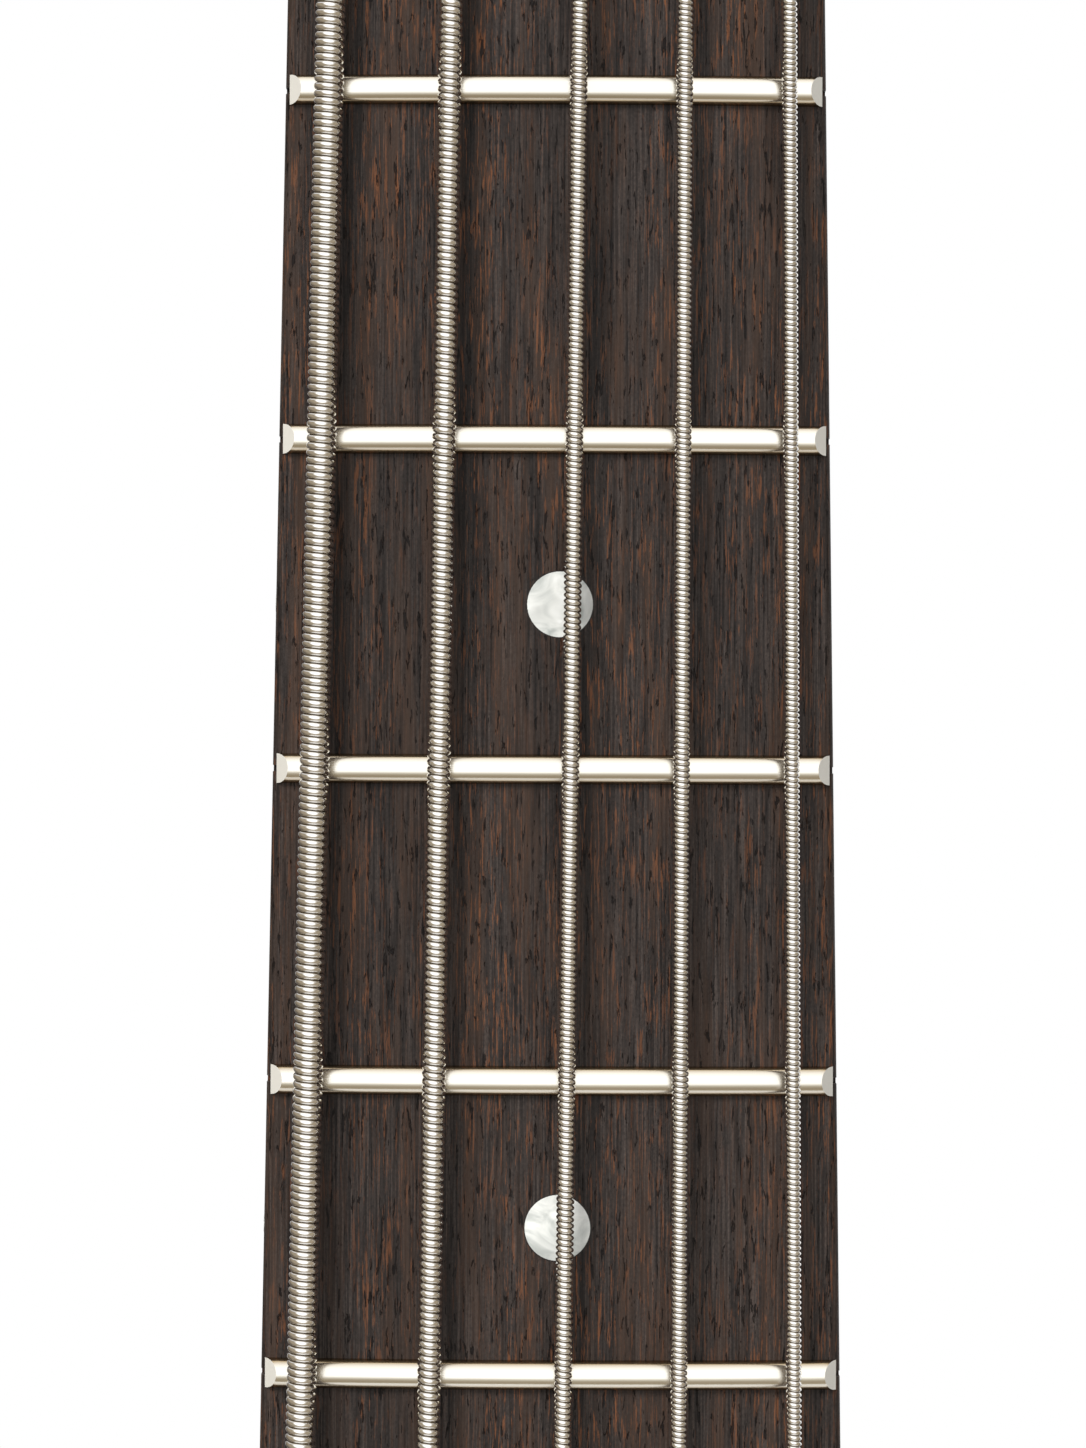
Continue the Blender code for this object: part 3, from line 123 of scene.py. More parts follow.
# Where the wrap wire's section is sampled across its pitch, for a count of samples
WRAP_SAMPLES = {5: (0.0, 0.12, 0.36, 0.64, 0.88), 6: (0.0, 0.09, 0.29, 0.5, 0.71, 0.91)}

# Tuning machines
TUNERS = {
    "b": (-1, 45.0 * MM),
    "e": (-1, 90.0 * MM),
    "a": (-1, 135.0 * MM),
    "g": (1, 65.0 * MM),
    "d": (1, 110.0 * MM),
}
POST_OFFSET = 30.5 * MM
POST_RADIUS = 5.0 * MM
POST_WAIST_RADIUS = 4.4 * MM
POST_HEIGHT = 18.0 * MM
FIRST_WRAP_HEIGHT = 5.0 * MM
SLOT_WIDTH = 3.2 * MM
SLOT_DEPTH = 3.4 * MM
FLANGE_RADIUS = 8.8 * MM
FLANGE_THICKNESS = 1.4 * MM
PLATE_THICKNESS = 1.6 * MM
PLATE_HALF_WIDTH = 13.0 * MM
PLATE_ABOVE_POST = 13.0 * MM
PLATE_BELOW_WORM = 6.5 * MM
EAR_THICKNESS = 2.0 * MM
EAR_INNER = 6.6 * MM
GEAR_TEETH = 20
GEAR_PITCH_RADIUS = 9.0 * MM
GEAR_ADDENDUM = 0.75 * MM
GEAR_DEDENDUM = 1.1 * MM
GEAR_FACE = 4.0 * MM
TOOTH_ROOT_WIDTH = 1.75 * MM
TOOTH_TIP_WIDTH = 0.8 * MM
WORM_PITCH_RADIUS = 3.5 * MM
WORM_LEAD = 2 * math.pi * GEAR_PITCH_RADIUS / GEAR_TEETH
WORM_DISTANCE = GEAR_PITCH_RADIUS + WORM_PITCH_RADIUS
THREAD_TIP_RADIUS = 4.3 * MM
THREAD_ROOT_WIDTH = 1.2 * MM
THREAD_TIP_WIDTH = 0.45 * MM
THREAD_TURNS = 2.25
SHAFT_RADIUS = 2.45 * MM
COLLAR_RADIUS = 3.7 * MM
COLLAR_LENGTH = 1.8 * MM
KEY_REACH = 24.0 * MM
KEY_LENGTH = 23.0 * MM
KEY_WIDTH = 27.0 * MM
KEY_THICKNESS = 3.4 * MM
PLATE_FRONT = -HEAD_THICKNESS - SEAT
PLATE_BACK = PLATE_FRONT - PLATE_THICKNESS
GEAR_CENTRE = PLATE_BACK - THREAD_TIP_RADIUS - 0.5 * MM
BUSHING_BORE = POST_RADIUS + SEAT
BUSHING_RADIUS = BUSHING_BORE + 1.7 * MM

# Body and bridge
BODY_THICKNESS = 40.0 * MM
BODY_TOP = SEAT - 3.5 * MM
BODY_BACK = BODY_TOP - BODY_THICKNESS
EDGE_RADIUS = 6.5 * MM
POCKET_WALL = 8.0 * MM
POCKET_FLOOR = -HEEL_DEPTH - SEAT
FOREARM_CONTOUR = (62.0 * MM, 150.0 * MM, 12.0 * MM)
FOREARM_SPOT = (-168.0 * MM, 82.0 * MM)
FOREARM_TURN = -14
RIB_CONTOUR = (66.0 * MM, 125.0 * MM, 14.0 * MM)
RIB_SPOT = (-150.0 * MM, 238.0 * MM)
RIB_TURN = 4
CUT_REACH = 60.0 * MM
CONTOUR_BOWL = 150.0 * MM
TAIL_BELOW_BRIDGE = 76.0 * MM
BRIDGE_LINE = -SCALE_LENGTH
FLANGE_BEHIND_SADDLE = 39.0 * MM
FLANGE_WALL = 3.0 * MM
FLANGE_HEIGHT = 13.0 * MM
BRIDGE_LENGTH = 58.0 * MM
BRIDGE_WIDTH = 88.0 * MM
RAIL_THICKNESS = 3.0 * MM
RAIL_HEIGHT = 9.0 * MM
BRIDGE_BASE_TOP = BODY_TOP + SEAT + 3.0 * MM
ADJUSTER_LINE = BRIDGE_BASE_TOP + 2.3 * MM
ADJUSTER_RADIUS = 1.25 * MM
ADJUSTER_HEAD_RADIUS = 1.9 * MM
ADJUSTER_HEAD_LENGTH = 1.8 * MM
SADDLE_WIDTH = 14.4 * MM
SADDLE_FRONT = 6.5 * MM
SADDLE_BACK = 7.5 * MM
SADDLE_LIFT = 1.3 * MM
SADDLE_GROOVE = 0.9 * MM
SADDLE_TRAVEL = 8.0 * MM
GRUB_RADIUS = 1.3 * MM
GRUB_OFFSET = 4.9 * MM
NOTCH_LINE = ADJUSTER_LINE + ADJUSTER_HEAD_RADIUS + SEAT + (BALL_DIAMETER - STRINGS[-1][1]) / 2

# Pickups, controls and fittings
PICKUP_LENGTH = 101.6 * MM
PICKUP_WIDTH = 32.0 * MM
PICKUP_CORNER = 4.0 * MM
PICKUP_TOP = 6.7 * MM
PICKUP_DEPTH = 21.0 * MM
PICKUP_GAP = 0.4 * MM
PICKUP_CAVITY_DEPTH = 24.0 * MM
NECK_PICKUP_BELOW_BOARD = 62.0 * MM
BRIDGE_PICKUP_ABOVE_SADDLE = 78.0 * MM
KNOB_RADIUS = 9.0 * MM
KNOB_HEIGHT = 15.0 * MM
POT_SHAFT_RADIUS = 3.0 * MM
POT_SHAFT_LENGTH = 16.0 * MM
KNOBS = (
    ("volume", 92.0 * MM, 74.0 * MM),
    ("balance", 108.0 * MM, 40.0 * MM),
    ("tone", 118.0 * MM, 3.0 * MM),
)
COVER_THICKNESS = 2.0 * MM
COVER_LEDGE = 6.0 * MM
CAVITY_ROOF = 7.0 * MM
JACK_ABOVE_BRIDGE = -22.0 * MM
JACK_SEAT_X = 160.0 * MM
JACK_BORE_RADIUS = 3.3 * MM
JACK_BARREL_RADIUS = 6.0 * MM
JACK_BARREL_LENGTH = 24.0 * MM
JACK_FLANGE_RADIUS = 11.0 * MM
JACK_FLANGE_THICKNESS = 2.0 * MM
JACK_END_WALL = 2.0 * MM
NECK_PLATE_WIDTH = 51.0 * MM
NECK_PLATE_LENGTH = 64.0 * MM
NECK_PLATE_THICKNESS = 2.0 * MM
BUTTON_RADIUS = 8.0 * MM
BUTTON_WAIST = 4.2 * MM
BUTTON_HEIGHT = 13.0 * MM
HORN_BUTTON = (-118.0 * MM, 144.6 * MM)

# Camera: the photo's size and scale, the mean of frets 5 to 9 as a pixel row and as a distance
# from the nut, the pixel column of the neck's centre line, and how far the photo leans
IMAGE_WIDTH = 1086
IMAGE_HEIGHT = 1448
PIXELS_PER_MM = 9.664
MARK_PIXEL_Y = 750.8
MARK_BELOW_NUT = 285.28 * MM
CENTRE_PIXEL_X = 553.35
LEAN = math.radians(-0.25)
LENS = 100.0
SENSOR = 36.0

# Backdrop and light, in metres
FLOOR_LEVEL = -0.9535
FLOOR_RADIUS = 0.38
SKY_GREY = 0.28
STUDIO_POWER = 1.35
STUDIO_LEFT = 0.12
STUDIO_NARROW = 0.45
STUDIO_FRONT = (0.0, -0.866, 0.5)
STUDIO_ABOVE = (0.0, 0.26, 0.966)
STUDIO_BEHIND = (0.35, 0.93, 0.08)
STUDIO_TONES = (
    (-1.0, (0.04, 0.033, 0.025)), (-0.79, (0.12, 0.10, 0.075)), (-0.49, (0.22, 0.185, 0.14)),
    (-0.20, (0.28, 0.235, 0.17)), (0.05, (0.29, 0.245, 0.175)), (0.26, (0.25, 0.21, 0.155)),
    (0.45, (0.36, 0.32, 0.255)), (0.58, (0.60, 0.57, 0.51)), (0.67, (1.0, 1.0, 1.0)),
)
LAMPS = (
    ("key", (-1.36, -2.72, 2.30), (0, 0, -0.30), (1.6, 1.6), 214),
    ("fill", (0, -3.0, -0.3), (0, 0, -0.30), (2.2, 2.2), 18),
    ("back", (-0.5, 1.6, 0.6), (0, 0, -0.5), (1.2, 1.6), 24),
)

NO_TURN = Matrix.Identity(4)
UPRIGHT = Matrix.Rotation(math.pi / 2, 4, "X")
HEAD = Matrix.Translation((0, 0, HEAD_START)) @ Matrix.Rotation(math.pi / 2 - HEAD_TILT, 4, "X")
AXIS_TURNS = {
    "x": Matrix.Rotation(math.pi / 2, 4, "Y"),
    "v": Matrix.Rotation(-math.pi / 2, 4, "X"),
    "w": NO_TURN,
    "back": Matrix.Rotation(math.pi, 4, "X"),
}


def fret_line(number):
    return -SCALE_LENGTH * (1 - 2 ** (-number / 12))


BOARD_END = fret_line(FRET_COUNT) - BOARD_OVERHANG
TWELFTH = fret_line(12)


def board_half(v):
    return (NUT_WIDTH + (WIDTH_AT_12TH - NUT_WIDTH) * v / TWELFTH) / 2


def camber_drop(x):
    return x * x / (2 * CAMBER_RADIUS)


def bridge_x(index):
    return BRIDGE_OFFSET + (index - (len(STRINGS) - 1) / 2) * STRING_SPACING


# Node graphs

def add_node(tree, kind, settings=(), **sockets):
    """A shader node; a socket's value is a number, a colour or another node's output."""
    node = tree.nodes.new("ShaderNode" + kind)
    for name, value in dict(settings).items():
        setattr(node, name, value)
    for name, value in sockets.items():
        socket = node.inputs[int(name[1:])] if name[1:].isdigit() else node.inputs[name.replace("_", " ")]
        if isinstance(value, bpy.types.NodeSocket):
            tree.links.new(value, socket)
        else:
            socket.default_value = value
    return node


def stretched(tree, scale):
    """The rest position in metres, scaled along X, Y and Z."""
    place = add_node(tree, "TexCoord").outputs["Object"]
    return add_node(tree, "Mapping", Vector=place, Scale=scale).outputs["Vector"]


def noise_of(tree, scale, detail=4.0, roughness=0.55, distortion=0.0):
    """Noise whose grain has the given counts per metre along X, Y and Z."""
    made = add_node(
        tree, "TexNoise", Vector=stretched(tree, scale), Scale=1.0,
        Detail=detail, Roughness=roughness, Distortion=distortion,
    )
    return made.outputs["Fac"]


def ramp_of(tree, value, stops):
    """A ramp through (place, colour) stops; a single number stands for a grey."""
    node = add_node(tree, "ValToRGB", Fac=value)
    marks = node.color_ramp.elements
    while len(marks) < len(stops):
        marks.new(0.5)
    for mark, (place, color) in zip(marks, stops):
        mark.position = place
        mark.color = (color, color, color, 1) if isinstance(color, (int, float)) else (*color, 1)
    return node.outputs["Color"]


def mixed(tree, share, first, second, blend="MIX"):
    node = add_node(tree, "Mix", {"data_type": "RGBA", "blend_type": blend})
    for socket, value in ((node.inputs[0], share), (node.inputs[6], first), (node.inputs[7], second)):
        if isinstance(value, bpy.types.NodeSocket):
            tree.links.new(value, socket)
        else:
            socket.default_value = value if isinstance(value, (int, float)) else (*value, 1)
    return node.outputs[2]


def maths(tree, operation, first, second=0.0):
    return add_node(tree, "Math", {"operation": operation}, _0=first, _1=second).outputs[0]


def new_look(name, roughness=0.4, metallic=0.0):
    look = bpy.data.materials.new(name)
    look.use_nodes = True
    shader = look.node_tree.nodes["Principled BSDF"]
    shader.inputs["Roughness"].default_value = roughness
    shader.inputs["Metallic"].default_value = metallic
    return look, look.node_tree, shader


def wire(tree, shader, color=None, roughness=None, height=None, depth=0.0):
    """Links a graph's results to the shader; depth is the bump's real depth in metres."""
    if color is not None:
        tree.links.new(color, shader.inputs["Base Color"])
    if roughness is not None:
        tree.links.new(roughness, shader.inputs["Roughness"])
    if height is not None:
        bump = add_node(tree, "Bump", Strength=1.0, Distance=depth, Height=height)
        tree.links.new(bump.outputs["Normal"], shader.inputs["Normal"])


# Materials

def board_wood():
    """Oiled dark wood: fine straight grain, short rust-brown streaks and small open pores."""
    look, tree, shader = new_look("dark_fingerboard_wood")
    fibre = noise_of(tree, (4200, 2000, 75), 7, 0.66)
    color = ramp_of(tree, fibre, [(0.32, (0.006, 0.005, 0.005)), (0.50, (0.024, 0.019, 0.017)),
                                  (0.68, (0.058, 0.045, 0.039))])
    broad = ramp_of(tree, noise_of(tree, (130, 60, 9), 3), [(0.3, 0.66), (0.7, 1.25)])
    color = mixed(tree, 1.0, color, broad, "MULTIPLY")
    grit = ramp_of(tree, noise_of(tree, (4200, 4200, 2600), 3, 0.7), [(0.3, 0.62), (0.7, 1.38)])
    color = mixed(tree, 1.0, color, grit, "MULTIPLY")
    warm = ramp_of(tree, noise_of(tree, (520, 240, 34), 5, 0.65), [(0.48, 0.0), (0.66, 0.6)])
    color = mixed(tree, warm, color, (0.052, 0.030, 0.020))
    streak = noise_of(tree, (3900, 1500, 210), 6, 0.72, 0.3)
    patch = noise_of(tree, (170, 80, 17), 3, 0.6)
    share = maths(tree, "MULTIPLY", ramp_of(tree, streak, [(0.545, 0.0), (0.60, 1.0)]),
                  ramp_of(tree, patch, [(0.38, 0.08), (0.62, 0.80)]))
    color = mixed(tree, share, color, (0.185, 0.070, 0.029))
    pore = ramp_of(tree, noise_of(tree, (2700, 1500, 370), 4, 0.62, 0.3), [(0.605, 0.0), (0.635, 1.0)])
    color = mixed(tree, maths(tree, "MULTIPLY", pore, 0.9), color, (0.003, 0.002, 0.002))
    roughness = ramp_of(tree, fibre, [(0.3, 0.62), (0.7, 0.46)])
    relief = maths(tree, "SUBTRACT", maths(tree, "MULTIPLY", fibre, 0.5), pore)
    wire(tree, shader, color, roughness, relief, 0.08 * MM)
    shader.inputs["Specular IOR Level"].default_value = 0.22
    return look


def straight_wood(name, dark, middle, light, counts, gloss, depth, coat=0.0):
    """Lacquered wood with growth rings across and long fibres along the instrument."""
    look, tree, shader = new_look(name)
    ring = noise_of(tree, (counts, counts * 0.6, counts * 0.055), 5, 0.6, 0.4)
    color = ramp_of(tree, ring, [(0.32, dark), (0.5, middle), (0.68, light)])
    fibre = noise_of(tree, (3000, 2200, 60), 4, 0.6)
    shade = ramp_of(tree, fibre, [(0.3, 0.80), (0.7, 1.12)])
    color = mixed(tree, 1.0, color, shade, "MULTIPLY")
    pore = ramp_of(tree, noise_of(tree, (2400, 2400, 150), 2), [(0.62, 0.0), (0.70, 1.0)])
    color = mixed(tree, maths(tree, "MULTIPLY", pore, 0.55), color, dark)
    roughness = ramp_of(tree, fibre, [(0.3, gloss + 0.06), (0.7, gloss)])
    wire(tree, shader, color, roughness, maths(tree, "SUBTRACT", fibre, pore), depth)
    shader.inputs["Specular IOR Level"].default_value = 0.3
    shader.inputs["Coat Weight"].default_value = coat
    shader.inputs["Coat Roughness"].default_value = 0.08
    return look


def metal(
    name, color, gloss, wear, counts=(900, 900, 900), depth=0.004 * MM, fret_wire=False, wound=False
):
    """Polished or plated metal with faint handling marks in its gloss.

    Fret wire is dull where its ends were filed, and its crown's flanks, which turn away from the front,
    carry painted shade in a dull tan. Wound wire carries painted shade, a dark brown, in its grooves.
    """
    look, tree, shader = new_look(name, gloss, 1.0)
    mark = noise_of(tree, counts, 6, 0.7)
    cloud = noise_of(tree, (45, 45, 45), 3)
    tone = ramp_of(tree, cloud, [(0.3, tuple(c * 0.93 for c in color)), (0.7, color)])
    roughness = ramp_of(tree, mark, [(0.35, gloss), (0.75, gloss + wear)])
    if fret_wire:
        facing = add_node(tree, "SeparateXYZ", Vector=add_node(tree, "TexCoord").outputs["Normal"]).outputs
        side = maths(tree, "ABSOLUTE", facing["X"])
        roughness = maths(tree, "MAXIMUM", roughness, ramp_of(tree, side, [(0.14, 0.0), (0.24, 0.5)]))
        tree.links.new(ramp_of(tree, side, [(0.14, 1.0), (0.24, 0.35)]), shader.inputs["Metallic"])
        # Painted shade: where the crown's normal turns away from the front, away from the filed ends, it is
        # tinted a dull tan
        foot = ramp_of(tree, maths(tree, "ABSOLUTE", facing["Y"]), [(0.66, 1.0), (0.95, 0.0)])
        foot = maths(tree, "MULTIPLY", foot, ramp_of(tree, side, [(0.14, 1.0), (0.24, 0.0)]))
        tone = mixed(tree, foot, tone, (0.44, 0.34, 0.21))
    if wound:
        # Painted shade: the grooves between wraps are tinted a dark brown, by the weight that wound_mesh
        # stores
        groove = add_node(tree, "Attribute", {"attribute_name": "groove"}).outputs["Fac"]
        tone = mixed(tree, groove, tone, (0.29, 0.25, 0.20))
        roughness = maths(tree, "MAXIMUM", roughness, maths(tree, "MULTIPLY", groove, 0.4))
    wire(tree, shader, tone, roughness, mark, depth)
    return look


def pearl():
    """Shell inlay: cloudy white with grey-green and cream bands that swirl."""
    look, tree, shader = new_look("pearl_inlay", 0.16)
    swirl = noise_of(tree, (210, 210, 260), 3, 0.5, 1.6)
    cloud = noise_of(tree, (120, 120, 95), 2, 0.5, 0.8)
    color = ramp_of(tree, swirl, [(0.32, (0.38, 0.40, 0.37)), (0.46, (0.60, 0.61, 0.57)),
                                  (0.58, (0.76, 0.76, 0.71)), (0.70, (0.90, 0.90, 0.86))])
    color = mixed(tree, 1.0, color, ramp_of(tree, cloud, [(0.35, 0.72), (0.65, 1.12)]), "MULTIPLY")
    wire(tree, shader, color, None, swirl, 0.01 * MM)
    shader.inputs["Coat Weight"].default_value = 0.5
    shader.inputs["Coat Roughness"].default_value = 0.05
    return look


def plastic(name, color, gloss, grain=0.02 * MM):
    look, tree, shader = new_look(name, gloss)
    pebble = noise_of(tree, (1500, 1500, 1500), 4, 0.6)
    cloud = noise_of(tree, (70, 70, 70), 2)
    tone = ramp_of(tree, cloud, [(0.3, tuple(c * 0.85 for c in color)), (0.7, color)])
    roughness = ramp_of(tree, pebble, [(0.3, gloss + 0.1), (0.7, gloss)])
    wire(tree, shader, tone, roughness, pebble, grain)
    return look


BOARD_WOOD = board_wood()
MAPLE = straight_wood(
    "satin_maple", (0.42, 0.24, 0.10), (0.56, 0.36, 0.17), (0.64, 0.44, 0.23), 260, 0.34, 0.01 * MM
)
WALNUT = straight_wood(
    "oiled_walnut", (0.032, 0.014, 0.007), (0.092, 0.042, 0.020), (0.175, 0.085, 0.042),
    190, 0.34, 0.02 * MM, 0.12
)
FRET_METAL = metal("nickel_silver", (0.91, 0.88, 0.80), 0.14, 0.07, (160, 900, 2600), 0.002 * MM, True)
STRING_METAL = metal(
    "round_wound_steel", (0.93, 0.91, 0.88), 0.10, 0.07, (700, 700, 500), 0.002 * MM, wound=True
)
HARDWARE = metal("polished_hardware", (0.57, 0.575, 0.58), 0.12, 0.09)
BRASS = metal("aged_brass", (0.70, 0.52, 0.25), 0.24, 0.14)
DARK_METAL = metal("blackened_screw", (0.16, 0.16, 0.17), 0.32, 0.10)
PEARL = pearl()
BLACK_PLASTIC = plastic("black_plastic", (0.020, 0.020, 0.022), 0.36)
BONE = plastic("bone", (0.80, 0.74, 0.60), 0.34, 0.006 * MM)
GLUE_LINE = plastic("dark_filler", (0.012, 0.009, 0.008), 0.5)
FELT = plastic("black_felt", (0.016, 0.016, 0.018), 0.85, 0.12 * MM)


# Meshes

def mesh_from(shape):
    mesh = bpy.data.meshes.new("mesh")
    shape.to_mesh(mesh)
    shape.free()
    return mesh


def from_bmesh(shape):
    bmesh.ops.recalc_face_normals(shape, faces=shape.faces)
    return mesh_from(shape)


def loft(rings):
    """A closed solid through rings of equal point counts, with its two ends filled."""
    shape = bmesh.new()
    rows = [[shape.verts.new(point) for point in ring] for ring in rings]
    count = len(rows[0])
    for lower, upper in zip(rows, rows[1:]):
        for i in range(count):
            j = (i + 1) % count
            shape.faces.new((lower[i], lower[j], upper[j], upper[i]))
    shape.faces.new(rows[0])
    shape.faces.new(rows[-1])
    return from_bmesh(shape)


def laid(name, mesh, plane=UPRIGHT, spot=(0, 0, 0), turn=None):
    """An object whose mesh is put in its place, so that the object itself stays at the origin."""
    base = turn.to_4x4() if turn else NO_TURN
    mesh.transform(plane @ Matrix.Translation(Vector(spot)) @ base)
    mesh.name = name
    obj = bpy.data.objects.new(name, mesh)
    bpy.context.scene.collection.objects.link(obj)
    return obj


def piece(obj, look=HARDWARE, body=ROOT, stands_for="", angle=32):
    """Gives a finished object its material, shading and body, and hides the imported part that it stands
    for.
    """
    obj.data.materials.clear()
    obj.data.materials.append(look)
    obj.data.shade_smooth()
    obj.data.set_sharp_from_angle(angle=math.radians(angle))
    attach(obj, body)
    if stands_for:
        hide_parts(stands_for)


def combine(target, tool, operation="DIFFERENCE"):
    """Adds a boolean change, which settled() makes real."""
    change = target.modifiers.new(operation, "BOOLEAN")
    change.operation = operation
    change.solver = "EXACT"
    change.object = tool
    return target


def cut(target, mesh, plane=UPRIGHT, spot=(0, 0, 0), turn=None):
    """Takes a mesh, put in its place as by laid(), away from an object."""
    return combine(target, laid("cutter", mesh, plane, spot, turn))


def bevel(obj, width, segments, angle=60):
    edge = obj.modifiers.new("rounded edges", "BEVEL")
    edge.width = width
    edge.segments = segments
    edge.use_clamp_overlap = False
    edge.limit_method = "ANGLE"
    edge.angle_limit = math.radians(angle)
    return obj


def evaluated_mesh(obj):
    bpy.context.view_layer.update()
    graph = bpy.context.evaluated_depsgraph_get()
    return bpy.data.meshes.new_from_object(obj.evaluated_get(graph))


def settled(obj):
    """Makes an object's modifiers real and removes the tools that they used."""
    mesh = evaluated_mesh(obj)
    tools = [change.object for change in obj.modifiers if change.type == "BOOLEAN"]
    obj.modifiers.clear()
    obj.data = mesh
    for tool in tools:
        bpy.data.objects.remove(tool)
    return obj


def mesh_of(obj):
    """The finished mesh of an object that isn't needed itself."""
    mesh = settled(obj).data
    bpy.data.objects.remove(obj)
    return mesh


def copies(name, source, places, look=HARDWARE, body=ROOT):
    """One piece that holds a copy of the source mesh at each place in the frame."""
    shape = bmesh.new()
    for place in places:
        one = source.copy()
        one.transform(place)
        shape.from_mesh(one)
        bpy.data.meshes.remove(one)
    piece(laid(name, mesh_from(shape), NO_TURN), look, body)


def seat_of(spot, spin, plane=UPRIGHT, facing="w"):
    """Where a screw sits in the frame, spun about its axis."""
    return plane @ Matrix.Translation(spot) @ AXIS_TURNS[facing] @ Matrix.Rotation(spin, 4, "Z")


def corner_seats(x, v, face, across, along):
    """Four places round a middle, at half sizes."""
    return [(x + i * across, v + k * along, face) for i in (-1, 1) for k in (-1, 1)]


def stepped(*groups):
    """Points in groups: each starts at a place and goes on in steps from there, in millimetres."""
    return [(x + a * MM, y + b * MM) for x, y, *steps in groups for a, b in steps or [(0, 0)]]


def outline_mesh(points, thickness, rounding=0, corners=()):
    """A flat plate from an outline; with a rounding it curves smoothly but for its corners."""
    curve = bpy.data.curves.new("outline", "CURVE")
    curve.dimensions = "2D"
    curve.fill_mode = "BOTH"
    curve.extrude = thickness / 2
    if rounding:
        curve.resolution_u = rounding
        spline = curve.splines.new("BEZIER")
        spline.bezier_points.add(len(points) - 1)
        for index, (knot, (x, v)) in enumerate(zip(spline.bezier_points, points)):
            knot.co = (x, v, 0)
            handle = "VECTOR" if index in corners else "AUTO"
            knot.handle_left_type = handle
            knot.handle_right_type = handle
    else:
        spline = curve.splines.new("POLY")
        spline.points.add(len(points) - 1)
        for knot, (x, v) in zip(spline.points, points):
            knot.co = (x, v, 0, 1)
    spline.use_cyclic_u = True
    guide = bpy.data.objects.new("outline", curve)
    bpy.context.scene.collection.objects.link(guide)
    mesh = evaluated_mesh(guide)
    bpy.data.objects.remove(guide)
    shape = bmesh.new()
    shape.from_mesh(mesh)
    bmesh.ops.remove_doubles(shape, verts=shape.verts, dist=0.01 * MM)
    bmesh.ops.dissolve_limit(shape, angle_limit=0.002, verts=shape.verts, edges=shape.edges)
    bpy.data.meshes.remove(mesh)
    return from_bmesh(shape)


def rounded_rectangle(width, height, radius, steps=8):
    points = []
    for quarter in range(4):
        middle = math.pi / 2 * quarter + math.pi / 4
        corner_x = math.copysign(width / 2 - radius, math.cos(middle))
        corner_y = math.copysign(height / 2 - radius, math.sin(middle))
        for i in range(steps + 1):
            angle = math.pi / 2 * (quarter + i / steps)
            points.append((corner_x + radius * math.cos(angle), corner_y + radius * math.sin(angle)))
    return points


def rods(ends, radius, sides, axis="w"):
    """One mesh of round rods along an axis, each given by its middle and its length."""
    shape = bmesh.new()
    for middle, length in ends:
        spot = Matrix.Translation(Vector(middle)) @ AXIS_TURNS[axis]
        bmesh.ops.create_cone(
            shape, cap_ends=True, segments=sides, radius1=radius, radius2=radius, depth=length, matrix=spot
        )
    return from_bmesh(shape)


def boxes(*spans):
    """One mesh of upright boxes, each given by its lowest and its highest corner."""
    shape = bmesh.new()
    for low, high in spans:
        low, high = Vector(low), Vector(high)
        size = Matrix.Diagonal((*(high - low), 1.0))
        bmesh.ops.create_cube(shape, size=1.0, matrix=Matrix.Translation((low + high) / 2) @ size)
    return from_bmesh(shape)


def turned_mesh(profile, sides):
    """A turned solid from (radius, height) points that run down its outer side."""
    shape = bmesh.new()
    rows = []
    for radius, height in profile:
        row = []
        for i in range(1 if radius < 1e-9 else sides):
            angle = 2 * math.pi * i / sides
            row.append(shape.verts.new((radius * math.cos(angle), radius * math.sin(angle), height)))
        rows.append(row)
    for upper, lower in zip(rows, rows[1:]):
        for i in range(sides):
            ends = ((upper, i), (upper, i + 1), (lower, i + 1), (lower, i))
            corners = list(dict.fromkeys(row[k % sides % len(row)] for row, k in ends))
            if len(corners) > 2:
                shape.faces.new(corners)
    return from_bmesh(shape)


def tube_mesh(profile, sides):
    """A turned ring whose profile closes on itself."""
    shape = bmesh.new()
    rows = []
    for i in range(sides):
        angle = 2 * math.pi * i / sides
        rows.append([shape.verts.new((r * math.cos(angle), r * math.sin(angle), h)) for r, h in profile])
    for row, beside in zip(rows, rows[1:] + rows[:1]):
        for k in range(len(row)):
            j = (k + 1) % len(row)
            shape.faces.new((row[k], row[j], beside[j], beside[k]))
    return from_bmesh(shape)


def screw_head(radius, height, sink=0.0):
    """A low domed head with a cross recess, its rim on the plane z = 0 and its foot at -sink."""
    profile = [(0, height)]
    for step in range(1, 6):
        angle = math.pi / 2 * step / 5
        profile.append((radius * math.sin(angle), height * math.cos(angle)))
    profile += [(radius * 0.96, -0.2 * MM - sink), (0, -0.2 * MM - sink)]
    head = laid("head", turned_mesh(profile, 28), NO_TURN)
    long, short = radius * 0.55, radius * 0.13
    for x, y in ((long, short), (short, long)):
        cut(head, boxes(((-x, -y, height - 1.1 * MM), (x, y, height + MM))), NO_TURN)
    return mesh_of(head)


def hex_screw(radius, length):
    """A headless screw with a hexagonal socket in its upper end, at z = 0."""
    profile = stepped((0, 0), (radius, 0, (-0.25, 0), (0, -0.25)), (radius, -length), (0, -length))
    screw = laid("screw", turned_mesh(profile, 32), NO_TURN)
    cut(screw, rods([((0, 0, 0), min(2.4 * MM, length))], radius * 0.56, 6), NO_TURN)
    return mesh_of(screw)


def steady(places, values, at):
    """A smooth curve through values at rising places, which never swings past them."""
    widths = np.diff(places)
    slopes = np.diff(values) / widths
    leans = np.concatenate([[slopes[0]], np.zeros(len(slopes) - 1), [slopes[-1]]])
    for i in range(1, len(slopes)):
        if slopes[i - 1] * slopes[i] > 0:
            leans[i] = 2 * slopes[i - 1] * slopes[i] / (slopes[i - 1] + slopes[i])
    k = np.clip(np.searchsorted(places, at) - 1, 0, len(widths) - 1)
    t = (at - places[k]) / widths[k]
    rise = values[k] * (1 + 2 * t) * (1 - t) ** 2 + values[k + 1] * t * t * (3 - 2 * t)
    return rise + widths[k] * (leans[k] * t * (1 - t) ** 2 - leans[k + 1] * t * t * (1 - t))


# Fingerboard

